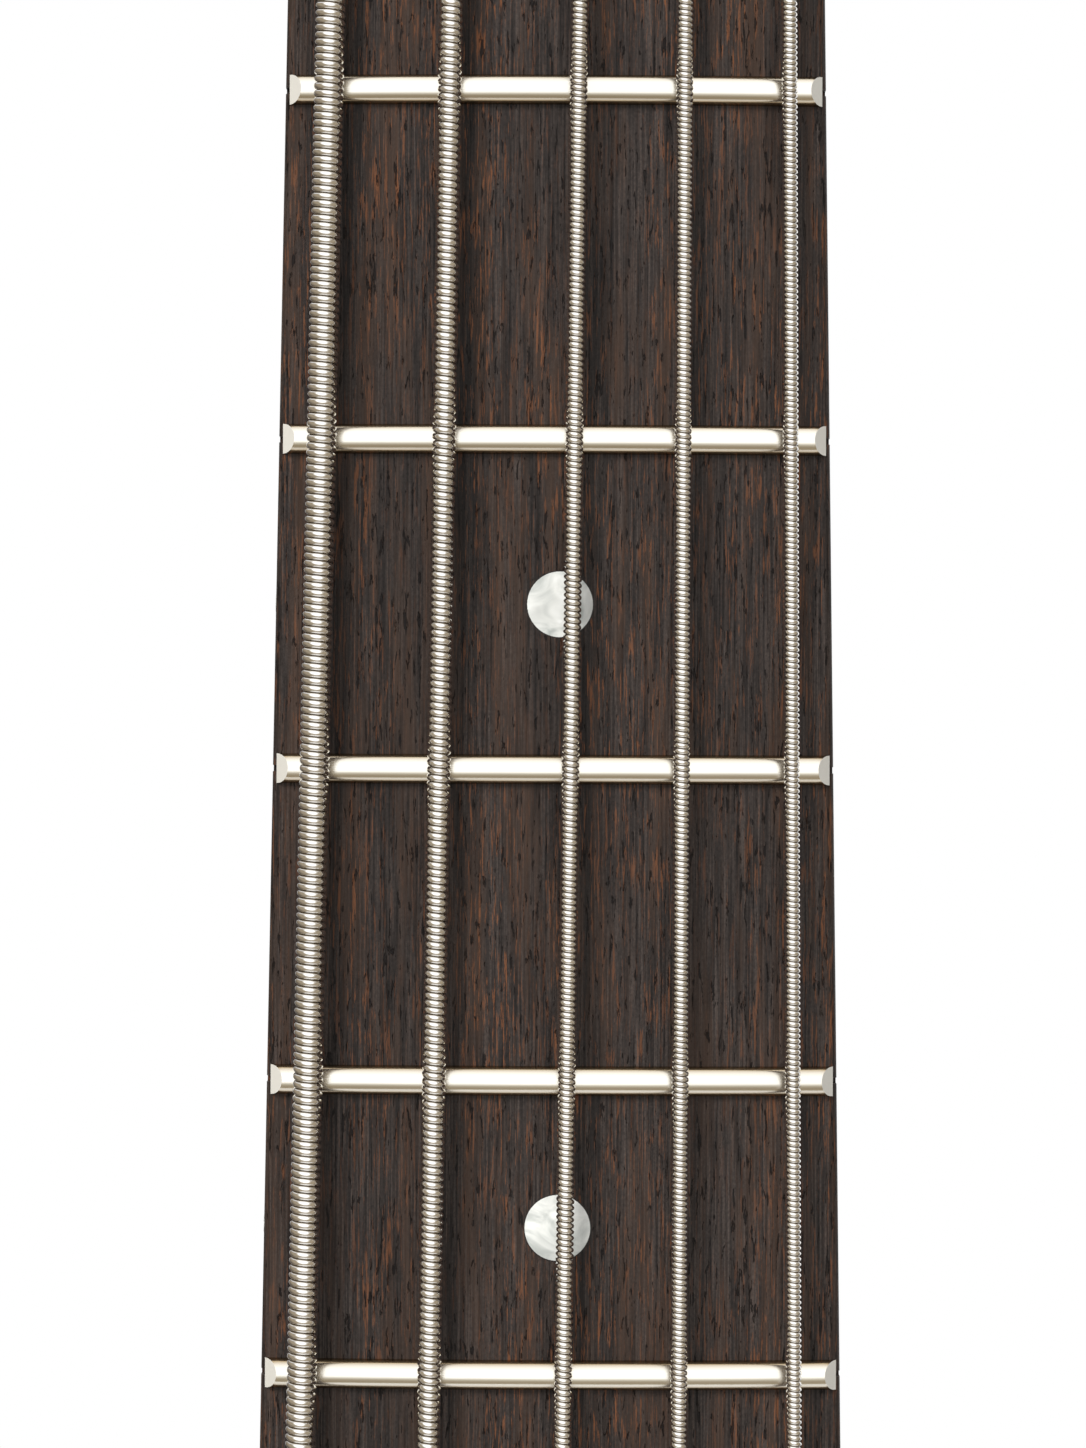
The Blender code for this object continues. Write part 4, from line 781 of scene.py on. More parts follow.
def board_ring(v):
    """Cross-section of the board: sides, rolled edges and the cambered top."""
    half = board_half(v)
    rolls = []
    for step in range(6):
        angle = math.pi / 2 * step / 5
        x = half - BOARD_ROLL * (1 - math.cos(angle))
        rolls.append((x, v, BOARD_TOP - camber_drop(x) - BOARD_ROLL * (1 - math.sin(angle))))
    inner = half - BOARD_ROLL
    crown = [inner - 2 * inner * step / BOARD_FLATS for step in range(1, BOARD_FLATS)]
    ring = [(half, v, SEAT), *rolls]
    ring += [(x, v, BOARD_TOP - camber_drop(x)) for x in crown]
    ring += [(-x, v, w) for x, v, w in reversed(rolls)]
    return [*ring, (-half, v, SEAT)]


def make_fingerboard():
    steps = 40
    rings = [board_ring(BOARD_END * i / steps) for i in range(steps + 1)]
    board = laid("fingerboard_wood", loft(rings))
    half_slot = TANG_THICKNESS / 2 + 0.03 * MM
    reach = board_half(BOARD_END) + 2 * MM
    floor = BOARD_TOP - camber_drop(board_half(BOARD_END)) - TANG_DEPTH - 0.1 * MM
    spans = []
    for v in map(fret_line, FRETS):
        spans.append(((-reach, v - half_slot, floor), (reach, v + half_slot, BOARD_TOP + 2 * MM)))
    cut(board, boxes(*spans))
    piece(settled(board), BOARD_WOOD, stands_for="fingerboard")


# Frets

def fret_ring(v, end, side, bevelled):
    """Section of the wire; at an end its points lie on the sloping plane that was filed there."""
    steps = 14
    half = CROWN_WIDTH / 2
    tang = TANG_THICKNESS / 2
    ring = []
    for step in range(steps + 1):
        angle = math.pi * step / steps
        height = CROWN_HEIGHT * math.sin(angle) ** 0.9
        x = end - (END_BEVEL * height / CROWN_HEIGHT if bevelled else 0.0)
        seat = BOARD_TOP + 0.02 * MM - camber_drop(x)
        ring.append((side * x, v + half * math.cos(angle), seat + height))
    seat = BOARD_TOP + 0.02 * MM - camber_drop(end)
    for at, w in ((-tang, seat), (-tang, seat - TANG_DEPTH), (tang, seat - TANG_DEPTH), (tang, seat)):
        ring.append((side * end, v + at, w))
    return ring


def make_frets():
    flats = 16
    for number in FRETS:
        v = fret_line(number)
        end = board_half(v) - END_INSET
        full = end - END_BEVEL - 0.05 * MM
        rings = [fret_ring(v, end, -1, True)]
        for step in range(flats + 1):
            x = full * (2 * step / flats - 1)
            rings.append(fret_ring(v, abs(x), math.copysign(1, x), False))
        rings.append(fret_ring(v, end, 1, True))
        fret = laid(f"fret_wire_{number:02d}", loft(rings))
        piece(fret, FRET_METAL, stands_for=f"fret_{number:02d}", angle=28)


# Inlays

def inlay(name, x, v):
    """A pearl dot and the thin dark ring of filler round it, both following the camber."""
    for suffix, reach, height, look in (
        ("", DOT_RADIUS, 0.03 * MM, PEARL), ("_ring", DOT_RADIUS + 0.12 * MM, 0.012 * MM, GLUE_LINE)
    ):
        profile = [((reach - DOT_CHAMFER) * i / 6, height) for i in range(7)]
        profile += [(reach, height - DOT_CHAMFER), (reach, -0.6 * MM), (0, -0.6 * MM)]
        mesh = turned_mesh(profile, 48)
        for vertex in mesh.vertices:
            vertex.co.z += BOARD_TOP - camber_drop(vertex.co.x + x)
        piece(laid(name + suffix, mesh, UPRIGHT, (x, v, 0)), look)


def space_middle(number):
    return (fret_line(number) + fret_line(number - 1)) / 2


def make_inlays():
    for number in DOT_FRETS:
        inlay(f"dot_{number:02d}", DOT_SHIFT, space_middle(number))
    for side, word in ((-1, "bass"), (1, "treble")):
        inlay(f"dot_12_{word}", side * TWIN_DOT_OFFSET, space_middle(12))
    profile = stepped((0, 0, (0, 0.05)), (SIDE_DOT_RADIUS, 0, (0, 0.05), (0, -1)), (0, 0, (0, -1)))
    turn = Matrix.Rotation(-math.pi / 2, 3, "Y")
    for number in (*DOT_FRETS, 12):
        for index, shift in enumerate((-3 * MM, 3 * MM) if number == 12 else (0.0,)):
            v = space_middle(number) + shift
            spot = (-board_half(v), v, BOARD_TOP - 2.9 * MM)
            dot = laid(f"side_dot_{number:02d}_{index}", turned_mesh(profile, 20), UPRIGHT, spot, turn)
            piece(dot, PEARL)


# Strings

def to_head(point):
    return Matrix.Rotation(HEAD_TILT, 3, "X") @ (Vector(point) - Vector((0, HEAD_START, 0)))


def from_head(point):
    return Matrix.Rotation(-HEAD_TILT, 3, "X") @ Vector(point) + Vector((0, HEAD_START, 0))


def winding(name, diameter, start):
    """Where the string meets its post, and its turns round the waist."""
    side, up = TUNERS[name]
    radius = POST_WAIST_RADIUS + SEAT + diameter / 2
    start = to_head(start)
    away = Vector((side * POST_OFFSET - start.x, up - start.y))
    first = math.atan2(away.y, away.x) + side * math.acos(-radius / away.length)
    pitch = diameter + WRAP_GAP
    points = []
    for i in range(WRAPS * LOOP_POINTS + 1):
        angle = first - side * 2 * math.pi * i / LOOP_POINTS
        w = FIRST_WRAP_HEIGHT + pitch * i / LOOP_POINTS
        points.append(
            from_head((side * POST_OFFSET + radius * math.cos(angle), up + radius * math.sin(angle), w))
        )
    return points


def eased(before, corner, after, reach, steps=8):
    """A corner of the string's line, bent round in a short curve."""
    start = corner + (before - corner).normalized() * reach
    end = corner + (after - corner).normalized() * reach
    points = []
    for step in range(steps + 1):
        t = step / steps
        points.append(start * (1 - t) ** 2 + corner * 2 * t * (1 - t) + end * t * t)
    return points


def string_corners(index):
    """The string's bends, at the mouth of the bridge's notch, at the saddle and at the nut."""
    _, diameter, nut_x, set_back, _ = STRINGS[index]
    x = bridge_x(index)
    radius = diameter / 2
    mouth = Vector((x, BRIDGE_LINE - FLANGE_BEHIND_SADDLE, NOTCH_LINE + radius))
    saddle = Vector((x, BRIDGE_LINE - set_back, STRING_AT_BRIDGE - camber_drop(x) + radius))
    nut = Vector((nut_x, NUT_CREST, STRING_AT_NUT - camber_drop(nut_x) + radius))
    return mouth, saddle, nut


def string_points(index):
    """Centre line from behind the bridge's flange to the end of the turns on the post."""
    mouth, saddle, nut = string_corners(index)
    behind = mouth - Vector((0, FLANGE_WALL + SEAT, 0))
    wound = winding(*STRINGS[index][:2], nut)
    points = [behind]
    points += eased(behind, mouth, saddle, 1.5 * MM)
    points += eased(mouth, saddle, nut, 2.5 * MM)
    points += eased(saddle, nut, wound[0], 1.5 * MM)
    return points + wound


def along_line(points):
    """Evenly spaced points on a line with a frame that doesn't twist: length, places, sides and ups."""
    line = np.array(points, float)
    lengths = np.linalg.norm(np.diff(line, axis=0), axis=1)
    line = line[np.concatenate([[True], lengths > 1e-7])]
    run = np.concatenate([[0], np.cumsum(np.linalg.norm(np.diff(line, axis=0), axis=1))])
    at = np.linspace(0, run[-1], LINE_SAMPLES)
    places = np.stack([np.interp(at, run, line[:, k]) for k in range(3)], axis=1)
    tangents = np.gradient(places, axis=0)
    tangents /= np.linalg.norm(tangents, axis=1)[:, None]
    side = np.cross(tangents[0], (0.0, 0.0, 1.0))
    side /= np.linalg.norm(side)
    sides = np.empty_like(places)
    for i, tangent in enumerate(tangents):
        side = side - tangent * side.dot(tangent)
        side /= np.linalg.norm(side)
        sides[i] = side
    return run[-1], places, sides, np.cross(sides, tangents)


def wound_mesh(points, radius, pitch, around, across, wire_share=0.5, span=None):
    """A round-wound string as one strip that climbs like its wrap wire, one pitch wide.

    The span gives the first and last turn to make, so that a long string can be cut in stretches.
    """
    length, *lines = along_line(points)
    first, last = span or (0, int(length / pitch) - 1)
    steps = (last - first) * around
    ends = np.array(WRAP_SAMPLES[across])
    turn = first + np.arange(steps + 1) / around
    at = pitch * (turn[:, None] + ends[None, :])
    lift = np.sqrt(np.maximum(0.25 - (ends - 0.5) ** 2, 0.0)) * pitch
    reach = radius - wire_share * pitch + lift * 2 * wire_share
    share = np.clip(at / length * (LINE_SAMPLES - 1), 0, LINE_SAMPLES - 1.001)
    low = share.astype(int)
    part = (share - low)[..., None]
    centre, side, up = (line[low] * (1 - part) + line[low + 1] * part for line in lines)
    angle = (2 * math.pi * turn)[:, None, None]
    spots = centre + reach[None, :, None] * (side * np.cos(angle) + up * np.sin(angle))
    mesh = strip_mesh(spots, around, (centre[0, 0], centre[-1, -1]))
    # Weight of the painted shade in the grooves: 1 where the wraps meet, 0 on the wire's crest
    groove = np.append(np.tile((1 - lift / lift.max()) ** GROOVE_SHADE_POWER, steps + 1), (1.0, 1.0))
    mesh.attributes.new("groove", "FLOAT", "POINT").data.foreach_set("value", groove.astype(np.float32))
    return mesh


def strip_mesh(spots, around, tips):
    """Joins the strip's rows to each other and to the next turn, and closes the two ends."""
    rows, columns = spots.shape[:2]
    index = np.arange(rows * columns).reshape(rows, columns)
    cells = (index[:-1, :-1], index[1:, :-1], index[1:, 1:], index[:-1, 1:])
    inner = np.stack(cells, axis=-1).reshape(-1, 4)
    last, beyond = index[: rows - around, -1], index[around:, 0]
    seam = np.stack([last[:-1], last[1:], beyond[1:], beyond[:-1]], axis=-1)
    quads = np.concatenate([inner, seam])
    first_loop = [*index[: around + 1, 0], *index[0, :0:-1]]
    last_loop = [*index[rows - around - 1 :, -1], *index[-1, columns - 2 :: -1]]
    tip = rows * columns
    caps = []
    for loop, centre, flip in ((first_loop, tip, False), (last_loop, tip + 1, True)):
        for a, b in zip(loop, [*loop[1:], loop[0]]):
            caps.append((centre, b, a) if flip else (centre, a, b))
    corners = np.concatenate([quads.ravel(), np.array(caps).ravel()]).astype(np.int32)
    starts = np.concatenate([np.arange(len(quads)) * 4, len(quads) * 4 + np.arange(len(caps)) * 3])
    places = np.concatenate([spots.reshape(-1, 3), np.array(tips)]).astype(np.float32)
    mesh = bpy.data.meshes.new("strip")
    mesh.vertices.add(len(places))
    mesh.vertices.foreach_set("co", places.ravel())
    mesh.loops.add(len(corners))
    mesh.loops.foreach_set("vertex_index", corners)
    mesh.polygons.add(len(starts))
    mesh.polygons.foreach_set("loop_start", starts.astype(np.int32))
    mesh.update(calc_edges=True)
    return mesh


def make_strings():
    for index, (name, diameter, _, _, pitch) in enumerate(STRINGS):
        points = string_points(index)
        turns = int(along_line(points)[0] / pitch) - 1
        low, high = (int(abs(points[0].y - v) / pitch) for v in CLOSE_STRETCH)
        for word, span, around, across in (
            ("tail", (0, low), 10, 5), ("middle", (low, high), 28, 6), ("head", (high, turns), 12, 5)
        ):
            mesh = wound_mesh(points, diameter / 2, pitch, around, across, span=span)
            stands = f"string_{name}" if word == "middle" else ""
            piece(laid(f"wound_string_{name}_{word}", mesh), STRING_METAL, stands_for=stands, angle=80)
        centre = string_corners(index)[0] - Vector((0, FLANGE_WALL + SEAT + BALL_LENGTH / 2, 0))
        ball = laid(f"ball_end_{name}", ball_mesh(), UPRIGHT, centre, AXIS_TURNS["x"].to_3x3())
        piece(ball, BRASS)


def ball_mesh():
    """The string's end: a short drum with a groove for the loop of wire and a hole through it."""
    half, radius = BALL_DIAMETER / 2, BALL_LENGTH / 2
    upper = [(1.0, 0.86), (0.86, 1.0), (0.5, 1.0), (0.32, 0.84)]
    drum = [*upper, (0.0, 0.78), *((-share, reach) for share, reach in reversed(upper))]
    profile = [(0.9 * MM, half - 0.2 * MM), (1.2 * MM, half)]
    profile += [(radius * reach, half * share) for share, reach in drum]
    profile += [(1.2 * MM, -half), (0.9 * MM, -half + 0.2 * MM)]
    return tube_mesh(profile, 40)


# Neck with headstock and heel, and the nut

def neck_depth(v):
    return NECK_DEPTH_AT_NUT + (NECK_DEPTH_AT_12TH - NECK_DEPTH_AT_NUT) * v / TWELFTH


def neck_stations():
    """Place, half width, front, depth and squareness of the back where the neck's shape changes."""
    heel_top = BOARD_END + HEEL_LENGTH
    ramp_top = heel_top + HEEL_RAMP
    rows = []
    for v, depth, squareness in (
        (BOARD_END, HEEL_DEPTH, 9.0),
        (heel_top, HEEL_DEPTH, 9.0),
        (heel_top + 0.1 * HEEL_RAMP, HEEL_DEPTH, 6.0),
        ((heel_top + ramp_top) / 2, (neck_depth(ramp_top) + HEEL_DEPTH) / 2, 2.9),
        (ramp_top, neck_depth(ramp_top), 2.25),
        (TWELFTH, neck_depth(TWELFTH), 2.2),
        (fret_line(5), neck_depth(fret_line(5)), 2.15),
        (0, NECK_DEPTH_AT_NUT, 2.1),
    ):
        rows.append((v, board_half(v), 0, depth, squareness))
    rows.append((HEAD_START, board_half(0), 0, NECK_DEPTH_AT_NUT + 0.4 * MM, 2.2))
    slab_depth = HEAD_THICKNESS / math.cos(HEAD_TILT)
    for beyond, proud, wider, deeper, squareness in (
        (1.5, 0.15, 0.3, 0.4, 2.3), (8, 0.15, 2.4, 0.7, 2.5), (15, 0.15, 5.0, 0.2, 2.9),
        (24, -1.0, 8.0, -1.5, 3.6), (36, -1.0, 11.0, -2.5, 4.5),
    ):
        v = HEAD_START + beyond * MM
        front = (HEAD_START - v) * math.tan(HEAD_TILT) + proud * MM
        rows.append((v, board_half(0) + wider * MM, front, slab_depth + deeper * MM, squareness))
    return np.array(rows, float)


def make_neck():
    stations = neck_stations()
    places = stations[:, 0]
    at = [places[:1]]
    for low, high in zip(places, places[1:]):
        steps = int(np.clip((high - low) / (3 * MM), 3, 16))
        at.append(np.linspace(low, high, steps + 1)[1:])
    at = np.concatenate(at)
    half, front, depth, square = (steady(places, stations[:, k], at) for k in range(1, 5))
    angles = np.linspace(0, math.pi, 45)
    across, down = np.cos(angles), np.sin(angles)
    rings = []
    for i, v in enumerate(at):
        x = half[i] * np.copysign(np.abs(across) ** (2 / square[i]), across)
        w = front[i] - depth[i] * np.abs(down) ** (2 / square[i])
        rings.append([(float(a), float(v), float(b)) for a, b in zip(x, w)])
    neck = laid("neck_wood", loft(rings))
    edge, top = HEAD_HALF_WIDTH, HEAD_LENGTH
    points = stepped(
        (0, 0, (-9, 4), (-22, 8)),
        (-edge, 0, (14, 17), (6.5, 28), (0, 44), (-1, 90), (1, 135)),
        (-edge, top, (8, -18), (26, -3)),
        (0, top, (0, -7)),
        (edge, top, (-26, -14), (-6, -30)),
        (edge, 0, (0, 118), (1, 72), (-3, 38), (-13, 18)),
        (0, 0, (22, 8), (9, 4)),
    )
    mesh = outline_mesh(points, HEAD_THICKNESS, 12, (0, len(points) - 1))
    slab = laid("headstock_slab", mesh, HEAD, (0, 0, -HEAD_THICKNESS / 2))
    combine(neck, bevel(slab, 1.4 * MM, 4), "UNION")
    holes = [((s * POST_OFFSET, up, -HEAD_THICKNESS / 2), 3 * HEAD_THICKNESS) for s, up in TUNERS.values()]
    cut(neck, rods(holes, BUSHING_RADIUS + SEAT, 48), HEAD)
    piece(even(settled(neck)), MAPLE, stands_for="neck")


def even(obj):
    """Weights the normals by face size, so that wide flat faces shade as flat."""
    weights = obj.modifiers.new("even shading", "WEIGHTED_NORMAL")
    weights.keep_sharp = True
    return obj


def slot_rings(points, radius):
    """An open-topped round slot round a string's centre line."""
    rings = []
    for i, point in enumerate(points):
        along = (points[min(i + 1, len(points) - 1)] - points[max(i - 1, 0)]).normalized()
        side = along.cross(Vector((0, 0, 1))).normalized()
        up = side.cross(along)
        ring = [point + side * radius + up * SLOT_OPENING]
        for step in range(15):
            angle = math.pi * step / 14
            ring.append(point + side * radius * math.cos(angle) - up * radius * math.sin(angle))
        ring.append(point - side * radius + up * SLOT_OPENING)
        rings.append(ring)
    return rings


def make_nut():
    half = NUT_WIDTH / 2
    top = BOARD_TOP + NUT_HEIGHT_OVER_BOARD
    rings = []
    for share in (0.0, 0.12, 0.3, 0.55, 0.8, 0.94, 1.0):
        v = NUT_LINE + NUT_THICKNESS * share
        lower = 1.6 * MM * share ** 2 + (0.35 * MM if share in (0.0, 1.0) else 0.0)
        ring = [(half, v, SEAT)]
        for i in range(25):
            x = half - NUT_WIDTH * i / 24
            corner = 0.5 * MM if i in (0, 24) else 0.0
            ring.append((x, v, top - lower - corner - camber_drop(x)))
        ring.append((-half, v, SEAT))
        rings.append(ring)
    nut = laid("nut_bone", loft(rings))
    for index, (name, diameter, _, _, _) in enumerate(STRINGS):
        _, saddle, crest = string_corners(index)
        wound = winding(name, diameter, crest)[0]
        before = crest + (saddle - crest).normalized() * 12 * MM
        after = crest + (wound - crest).normalized() * 16 * MM
        cut(nut, loft(slot_rings([before, crest, after], diameter / 2 + 0.12 * MM)))
    piece(settled(nut), BONE, stands_for="nut")


# Tuning machines

def gear_rings():
    """The worm wheel's toothed outline in leaning layers, its teeth a little hollow in the middle."""
    root = GEAR_PITCH_RADIUS - GEAR_DEDENDUM
    tip = GEAR_PITCH_RADIUS + GEAR_ADDENDUM
    lean = GEAR_FACE / 2 * WORM_LEAD / (2 * math.pi * WORM_PITCH_RADIUS) / GEAR_PITCH_RADIUS
    rings = []
    for step in range(-4, 5):
        share = step / 4
        crown = tip - 0.25 * MM * (1 - share * share)
        flank = []
        for part in (0.0, 0.35, 0.7, 1.0):
            radius = root + (crown - root) * part
            half = (TOOTH_ROOT_WIDTH + (TOOTH_TIP_WIDTH - TOOTH_ROOT_WIDTH) * part ** 1.3) / 2 / radius
            flank.append((radius, half))
        sides = [(r, -h) for r, h in flank] + [(r, h) for r, h in reversed(flank)]
        ring = []
        for tooth in range(GEAR_TEETH):
            middle = -math.pi / 2 + 2 * math.pi * (tooth + 0.5) / GEAR_TEETH + share * lean
            for r, h in sides:
                w = GEAR_CENTRE + share * GEAR_FACE / 2
                ring.append((r * math.cos(middle + h), r * math.sin(middle + h), w))
        rings.append(ring)
    return rings


def make_post(name, spot):
    wraps_top = FIRST_WRAP_HEIGHT + (WRAPS + 0.4) * (STRINGS[0][1] + WRAP_GAP) + STRINGS[0][1] / 2
    gear_back = GEAR_CENTRE - GEAR_FACE / 2
    profile = stepped(
        (0, POST_HEIGHT, (0, -0.3)),
        (POST_RADIUS, POST_HEIGHT, (-2.2, 0), (-1.0, -0.1), (-0.3, -0.5), (0, -1.2)),
        (POST_RADIUS, wraps_top, (0, 0.6)),
        (POST_WAIST_RADIUS, wraps_top, (0.2, 0.2), (0, -0.4)),
        (POST_WAIST_RADIUS, FLANGE_THICKNESS, (0, 2.0), (0.2, 1.5)),
        (POST_RADIUS, FLANGE_THICKNESS, (0, 1.0)),
        (POST_RADIUS, gear_back, (0, -0.5), (-0.3, -0.6)),
        (0, gear_back, (0, -0.6)),
    )
    post = laid(f"string_post_{name}", turned_mesh(profile, 56), HEAD, spot)
    low = (-SLOT_WIDTH / 2, -2 * POST_RADIUS, POST_HEIGHT - SLOT_DEPTH)
    high = (SLOT_WIDTH / 2, 2 * POST_RADIUS, POST_HEIGHT + MM)
    cut(post, boxes((low, high)), HEAD, spot)
    cut(post, rods([((0, 0, POST_HEIGHT), 24 * MM)], 1.45 * MM, 24), HEAD, spot)
    body = f"post_{name}"
    piece(settled(post), body=body, stands_for=f"tuner_post_{name}")
    wheel = laid(f"worm_wheel_{name}", loft(gear_rings()), HEAD, spot)
    cut(wheel, rods([((0, 0, GEAR_CENTRE), 12 * MM)], POST_RADIUS + 0.02 * MM, 56), HEAD, spot)
    piece(settled(wheel), BRASS, body, angle=28)
    profile = stepped((0, 0, (0, -2.2), (1.8, -2.1), (2.7, -1.7), (3.2, -1.0), (3.4, -0.55), (0, -0.55)))
    seat = (spot[0], spot[1], gear_back)
    screw = laid(f"wheel_screw_{name}", turned_mesh(profile, 40), HEAD, seat)
    slot = boxes(((-0.45 * MM, -4 * MM, -3 * MM), (0.45 * MM, 4 * MM, -1.2 * MM)))
    cut(screw, slot, HEAD, seat, Matrix.Rotation(0.5, 3, "Z"))
    piece(settled(screw), body=body)


def make_tuner_plate(name, spot, head):
    low = -WORM_DISTANCE - PLATE_BELOW_WORM
    middle = (spot[0], spot[1] + (PLATE_ABOVE_POST + low) / 2, (PLATE_FRONT + PLATE_BACK) / 2)
    points = rounded_rectangle(2 * PLATE_HALF_WIDTH, PLATE_ABOVE_POST - low, 4 * MM)
    plate = laid(f"back_plate_{name}", outline_mesh(points, PLATE_THICKNESS), HEAD, middle)
    bevel(plate, 0.35 * MM, 3)
    ear_end = GEAR_CENTRE - SHAFT_RADIUS - 2.0 * MM
    ear_top = -WORM_DISTANCE + SHAFT_RADIUS + SEAT + 1.2 * MM
    ear_low = -WORM_DISTANCE - SHAFT_RADIUS - SEAT - 1.5 * MM
    spans = []
    for side in (-1, 1):
        inner, outer = sorted((side * EAR_INNER, side * (EAR_INNER + EAR_THICKNESS)))
        spans.append(((inner, ear_low, ear_end), (outer, ear_top, PLATE_FRONT - PLATE_THICKNESS / 2)))
    combine(plate, bevel(laid("ears", boxes(*spans), HEAD, spot), 0.5 * MM, 4), "UNION")
    centre = (0, -WORM_DISTANCE, GEAR_CENTRE)
    cut(plate, rods([(centre, 4 * EAR_INNER)], SHAFT_RADIUS + 0.15 * MM, 40, "x"), HEAD, spot)
    cut(plate, rods([((0, 0, 0), 4 * HEAD_THICKNESS)], BUSHING_BORE, 48), HEAD, spot)
    piece(settled(plate), stands_for=f"tuner_plate_{name}")
    profile = stepped(
        (BUSHING_BORE, SEAT + FLANGE_THICKNESS, (0, -0.2), (0.3, 0)),
        (FLANGE_RADIUS, SEAT + FLANGE_THICKNESS, (-1.0, -0.1), (-0.3, -0.5)),
        (FLANGE_RADIUS, SEAT, (0, 0.3), (-0.1, 0)),
        (BUSHING_RADIUS, SEAT),
        (BUSHING_RADIUS, PLATE_FRONT),
        (BUSHING_BORE, PLATE_FRONT),
    )
    piece(laid(f"bushing_{name}", tube_mesh(profile, 64), HEAD, spot))
    places = []
    for across in (-1, 1):
        for up in (PLATE_ABOVE_POST - 3.4 * MM, low + 3.4 * MM):
            seat = (spot[0] + across * (PLATE_HALF_WIDTH - 3.2 * MM), spot[1] + up, PLATE_BACK)
            places.append(seat_of(seat, 0.4 * across + up * 90, HEAD, "back"))
    copies(f"plate_screws_{name}", head, places)


def worm_thread_rings():
    steps = round(THREAD_TURNS * 40)
    root = SHAFT_RADIUS - 0.5 * MM
    rings = []
    for i in range(steps + 1):
        angle = 2 * math.pi * (i - steps / 2) / 40
        middle = WORM_LEAD * angle / (2 * math.pi)
        rise = min(1.0, i / 6, (steps - i) / 6)
        tip = SHAFT_RADIUS - 0.3 * MM + (THREAD_TIP_RADIUS - SHAFT_RADIUS + 0.3 * MM) * max(rise, 0.05)
        ring = []
        for radius, half in ((root, -THREAD_ROOT_WIDTH / 2), (tip, -THREAD_TIP_WIDTH / 2),
                             (tip, THREAD_TIP_WIDTH / 2), (root, THREAD_ROOT_WIDTH / 2)):
            ring.append((middle + half, radius * math.cos(angle), radius * math.sin(angle)))
        rings.append(ring)
    return rings


def make_key(name, spot, side):
    axle = (spot[0], spot[1] - WORM_DISTANCE, spot[2] + GEAR_CENTRE)
    collar = EAR_INNER + EAR_THICKNESS + SEAT
    inner_end = -EAR_INNER - EAR_THICKNESS - 1.2 * MM
    profile = stepped(
        (0, KEY_REACH, (0, 4)),
        (SHAFT_RADIUS, KEY_REACH, (0, 4)),
        (SHAFT_RADIUS, collar + COLLAR_LENGTH, (0, 0.25)),
        (COLLAR_RADIUS, collar + COLLAR_LENGTH, (-0.25, 0), (0, -0.25)),
        (COLLAR_RADIUS, collar, (0, 0.25), (-0.25, 0)),
        (SHAFT_RADIUS, collar),
        (SHAFT_RADIUS, inner_end, (0, 0.25), (-0.25, 0)),
        (0, inner_end),
    )
    turn = Matrix.Rotation(side * math.pi / 2, 3, "Y")
    key = laid(f"key_shaft_{name}", turned_mesh(profile, 40), HEAD, axle, turn)
    combine(key, laid("thread", loft(worm_thread_rings()), HEAD, axle), "UNION")
    reach, width, end = KEY_REACH, KEY_WIDTH / 2, KEY_REACH + KEY_LENGTH
    leaf = [
        (reach - 1 * MM, 3 * MM), (reach + 2 * MM, width * 0.80), (reach + 8 * MM, width),
        (reach + 13 * MM, width * 0.72), (reach + 14.5 * MM, width * 0.55),
        (end - 3 * MM, width * 0.58), (end, 0),
    ]
    leaf += [(x, -y) for x, y in reversed(leaf[:-1])]
    mesh = outline_mesh([(side * x, y) for x, y in leaf], KEY_THICKNESS, 12)
    combine(key, bevel(laid("clover", mesh, HEAD, axle), 1.2 * MM, 4, 40), "UNION")
    piece(settled(key), body=f"key_{name}", stands_for=f"tuner_key_{name}")


def make_tuners():
    head = screw_head(2.6 * MM, 1.3 * MM)
    for name, (side, up) in TUNERS.items():
        spot = (side * POST_OFFSET, up, 0)
        make_tuner_plate(name, spot, head)
        make_post(name, spot)
        make_key(name, spot, side)


# Body

def body_outline():
    """Outline points, the horns placed from the end of the board, the rest from the bridge."""
    heel = BOARD_END
    mouth = heel + HEEL_LENGTH - SEAT
    half = board_half(mouth) + POCKET_WALL
    tail = BRIDGE_LINE - TAIL_BELOW_BRIDGE
    return stepped(
        (0, mouth),
        (-half, mouth, (12, -0.8), (1, -11), (-3, -28)),
        (0, heel, (-58, 57), (-78, 78), (-94, 116), (-110, 143)),
        (0, heel, (-126, 144), (-140, 118), (-142, 60), (-132, -15)),
        (0, BRIDGE_LINE, (-125, 182), (-136, 115), (-161, 50), (-171, -5)),
        (0, tail, (-152, 24), (-95, 4), (0, 0), (95, 6), (150, 30)),
        (0, BRIDGE_LINE, (168, 8), (156, 72), (126, 145), (114, 198)),
        (0, heel, (117, 0), (124, 44), (123, 74), (110, 86), (95, 72), (80, 42), (60, 24)),
        (half, heel, (4, 36)),
        (half, mouth, (0.5, -33), (-1, -11), (-12, -0.8)),
    )


def pickup_places():
    """Name and place of each pickup, centred under the strings."""
    string_x = STRINGS[len(STRINGS) // 2][2]
    places = []
    for name, v in (
        ("neck", BOARD_END - NECK_PICKUP_BELOW_BOARD), ("bridge", BRIDGE_LINE + BRIDGE_PICKUP_ABOVE_SADDLE)
    ):
        places.append((name, string_x + (BRIDGE_OFFSET - string_x) * v / BRIDGE_LINE, v))
    return places


def cover_outline(grow):
    """Outline of the control cavity's cover, seen from the front, made wider by grow."""
    middle_x, middle_v = 102 * MM, 36 * MM
    points = []
    for x, v in (
        (66, 78), (84, 96), (108, 86), (126, 54), (138, 14),
        (132, -14), (110, -20), (92, 2), (78, 36), (64, 56),
    ):
        dx, dv = x * MM - middle_x, v * MM - middle_v
        stretch = 1 + grow / math.hypot(dx, dv)
        points.append((middle_x + dx * stretch, BRIDGE_LINE + middle_v + dv * stretch))
    return points


